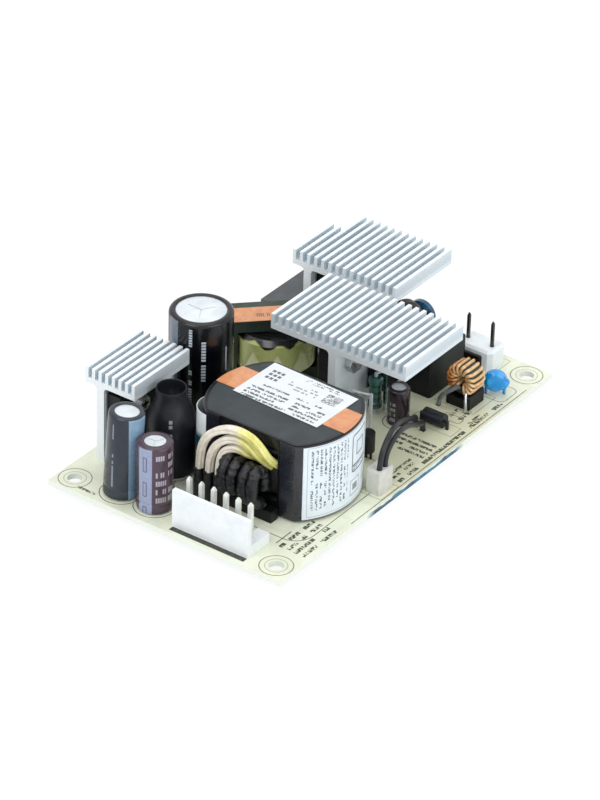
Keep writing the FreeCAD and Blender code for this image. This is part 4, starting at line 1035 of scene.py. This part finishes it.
def ring_turn(angle, inner, wire):
    """One turn, through eight points round the ring's section. Each point has a place in the
    section and its share of the turn's lean."""
    lean = 0.16
    loop = [(inner, -2.4, 0.0), (inner, 2.4, 0.0), (2.9, 2.9, 0.1), (3.9, 2.9, 0.5),
            (4.4, 2.4, 1.0), (4.4, -2.4, 1.0), (3.9, -2.9, 0.5), (2.9, -2.9, 0.1)]
    points = []
    for away, across, share in loop:
        turn = math.radians(angle) + lean * share
        points.append(ring_centre + Vector((across, -away * math.sin(turn), away * math.cos(turn))))
    return wire_piece("choke_turn", points, 0.47, wire, steps=4, roundness=3, cyclic=True)


wire = wire_finish()
count, first_angle, last_angle = 15, -150.0, 150.0
outer_layer, inner_layer = 2.4, 1.45
turns = []
for k in range(count):
    angle = first_angle + (last_angle - first_angle) * k / (count - 1)
    turns.append(ring_turn(angle, outer_layer if k % 2 else inner_layer, wire))
grey_sleeve = moulded("lead_sleeve_grey", (128, 132, 134), (92, 96, 100), 0.45, patch=1.5)
sleeved_end = wire_piece("choke_lead", [(33.1, -27.5, 10.4), (31.4, -24.7, 8.6), (30.9, -22.3, 5.8),
                                        (30.9, -22.3, 2.0)], 0.62, grey_sleeve)
bare_end = wire_piece("choke_end", [(33.2, -29.5, 8.8), (32.2, -30.1, 7.2), (32.0, -30.5, 5.4),
                                    (32.0, -30.5, 2.0)], 0.42, tinned)
winding = join_wires("ring_winding", turns + [sleeved_end, bare_end])
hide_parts("line_choke_turns")
print("ring wound with", len(turns), "turns")

# %% [markdown]
# ## Slim posts and a lacquer skirt
# The two mains posts are slim, with a bevelled tip, and painted dark as the reflection on their metal.
# Each is a cube drawn out along its height, with its top face made smaller. The front disc was dipped,
# and some of its lacquer ran down one lead. That drop is turned on the same lathe as the sleeves.

# %% Slim posts and a lacquer skirt
def slim_post(x, y):
    side, foot, shoulder, tip = 0.8, 2.0, 16.9, 17.7
    start_fresh()
    bpy.ops.mesh.primitive_cube_add(size=side * millimetre,
                                    location=Vector((x, y, foot + side / 2)) * millimetre)
    post = added_piece("mains_post")
    pick_faces(post, lambda face: face.normal.z > 0.9)
    for rise in (shoulder - foot - side, tip - shoulder):
        bpy.ops.mesh.extrude_region_move(TRANSFORM_OT_translate={"value": (0.0, 0.0, rise * millimetre)})
    bpy.ops.transform.resize(value=(0.4, 0.4, 1.0), center_override=Vector((x, y, tip)) * millimetre)
    bpy.ops.object.mode_set(mode="OBJECT")
    post.data.materials.append(dark_reflection_post.material)
    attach(post, "root")
    return post


posts = join("mains_posts", [slim_post(56.6, y) for y in (-22.36, -14.44)])
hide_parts("mains_inlet_pins")
skirt = turned_piece("lacquer_skirt", (46.7, -33.3), [
    (0.2, 4.2), (0.34, 4.28), (0.44, 4.6), (0.6, 5.1), (0.84, 5.7), (1.2, 6.5), (1.45, 7.1), (1.5, 7.5),
    (1.3, 7.9), (0.8, 8.15), (0.2, 8.2), (0.2, 4.2)], segments=24, smooth=60.0)
skirt.data.materials.append(dip_blue.material)
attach(skirt, "root")
print("posts and skirt made")

# %% [markdown]
# ## Floor and light
# The object stands on a plain pale sheet, in soft light from large lamps and an even sky. What
# lights the object isn't quite what is seen: the camera sees a sheet that glows almost evenly, so
# its shadow stays soft, and a white sky behind it. One helper tells the two kinds of ray apart.

# %% Floor and light
def seen_rays(tree):
    """1 for rays that show a thing, straight, mirrored or through glass, and 0 for rays that light."""
    nodes, links = tree.nodes, tree.links
    rays = nodes.new("ShaderNodeLightPath")
    seen = rays.outputs["Is Camera Ray"]
    for kind in ("Is Glossy Ray", "Is Transmission Ray"):
        either = nodes.new("ShaderNodeMath")
        either.operation = "MAXIMUM"
        links.new(seen, either.inputs[0])
        links.new(rays.outputs[kind], either.inputs[1])
        seen = either.outputs[0]
    return seen


def blend(tree, share, under, over, output):
    """Shader under with as much of shader over as share says."""
    mixed = tree.nodes.new("ShaderNodeMixShader")
    for socket, given in enumerate((share, under.outputs[0], over.outputs[0])):
        tree.links.new(given, mixed.inputs[socket])
    tree.links.new(mixed.outputs[0], tree.nodes[output].inputs["Surface"])


def pale_floor():
    start_fresh()
    bpy.ops.mesh.primitive_plane_add(size=0.9, location=(0.0, 0.0, -0.0002))
    floor = bpy.context.object
    floor.name = "studio_floor"
    sheet = bpy.data.materials.new("studio_sheet")
    sheet.use_nodes = True
    tree = sheet.node_tree
    shader = tree.nodes["Principled BSDF"]
    shader.inputs["Base Color"].default_value = (0.9, 0.9, 0.9, 1.0)
    shader.inputs["Roughness"].default_value = 0.9
    shader.inputs["Specular IOR Level"].default_value = 0.0
    glow = tree.nodes.new("ShaderNodeEmission")
    glow.inputs["Strength"].default_value = 1.06
    share = tree.nodes.new("ShaderNodeMath")
    share.operation = "MULTIPLY"
    share.inputs[1].default_value = 0.88
    tree.links.new(seen_rays(tree), share.inputs[0])
    blend(tree, share.outputs[0], shader, glow, "Material Output")
    floor.data.materials.append(sheet)


def white_sky(strength):
    world = bpy.data.worlds.new("studio_sky")
    bpy.context.scene.world = world
    world.use_nodes = True
    tree = world.node_tree
    sky = tree.nodes["Background"]
    sky.inputs["Color"].default_value = (0.97, 0.985, 1.0, 1.0)
    sky.inputs["Strength"].default_value = strength
    white = tree.nodes.new("ShaderNodeBackground")
    white.inputs["Color"].default_value = (1.0, 1.0, 1.0, 1.0)
    white.inputs["Strength"].default_value = 1.0
    blend(tree, seen_rays(tree), sky, white, "World Output")


def soft_lamp(name, place, size, power):
    lamp = bpy.data.lights.new(name, "AREA")
    lamp.size = size
    lamp.energy = power
    made = bpy.data.objects.new(name, lamp)
    made.location = place
    made.rotation_euler = (-Vector(place)).to_track_quat("-Z", "Y").to_euler()
    bpy.context.scene.collection.objects.link(made)


pale_floor()
white_sky(0.72)
for lamp in (("key_lamp", (-0.75, 0.1, 0.9), 0.7, 4.2), ("fill_lamp", (-0.1, -1.0, 0.55), 0.8, 3.4),
             ("top_lamp", (0.2, 0.2, 1.1), 0.7, 2.4)):
    soft_lamp(*lamp)
bpy.context.scene.view_settings.view_transform = "Standard"
print("floor and lamps in place")
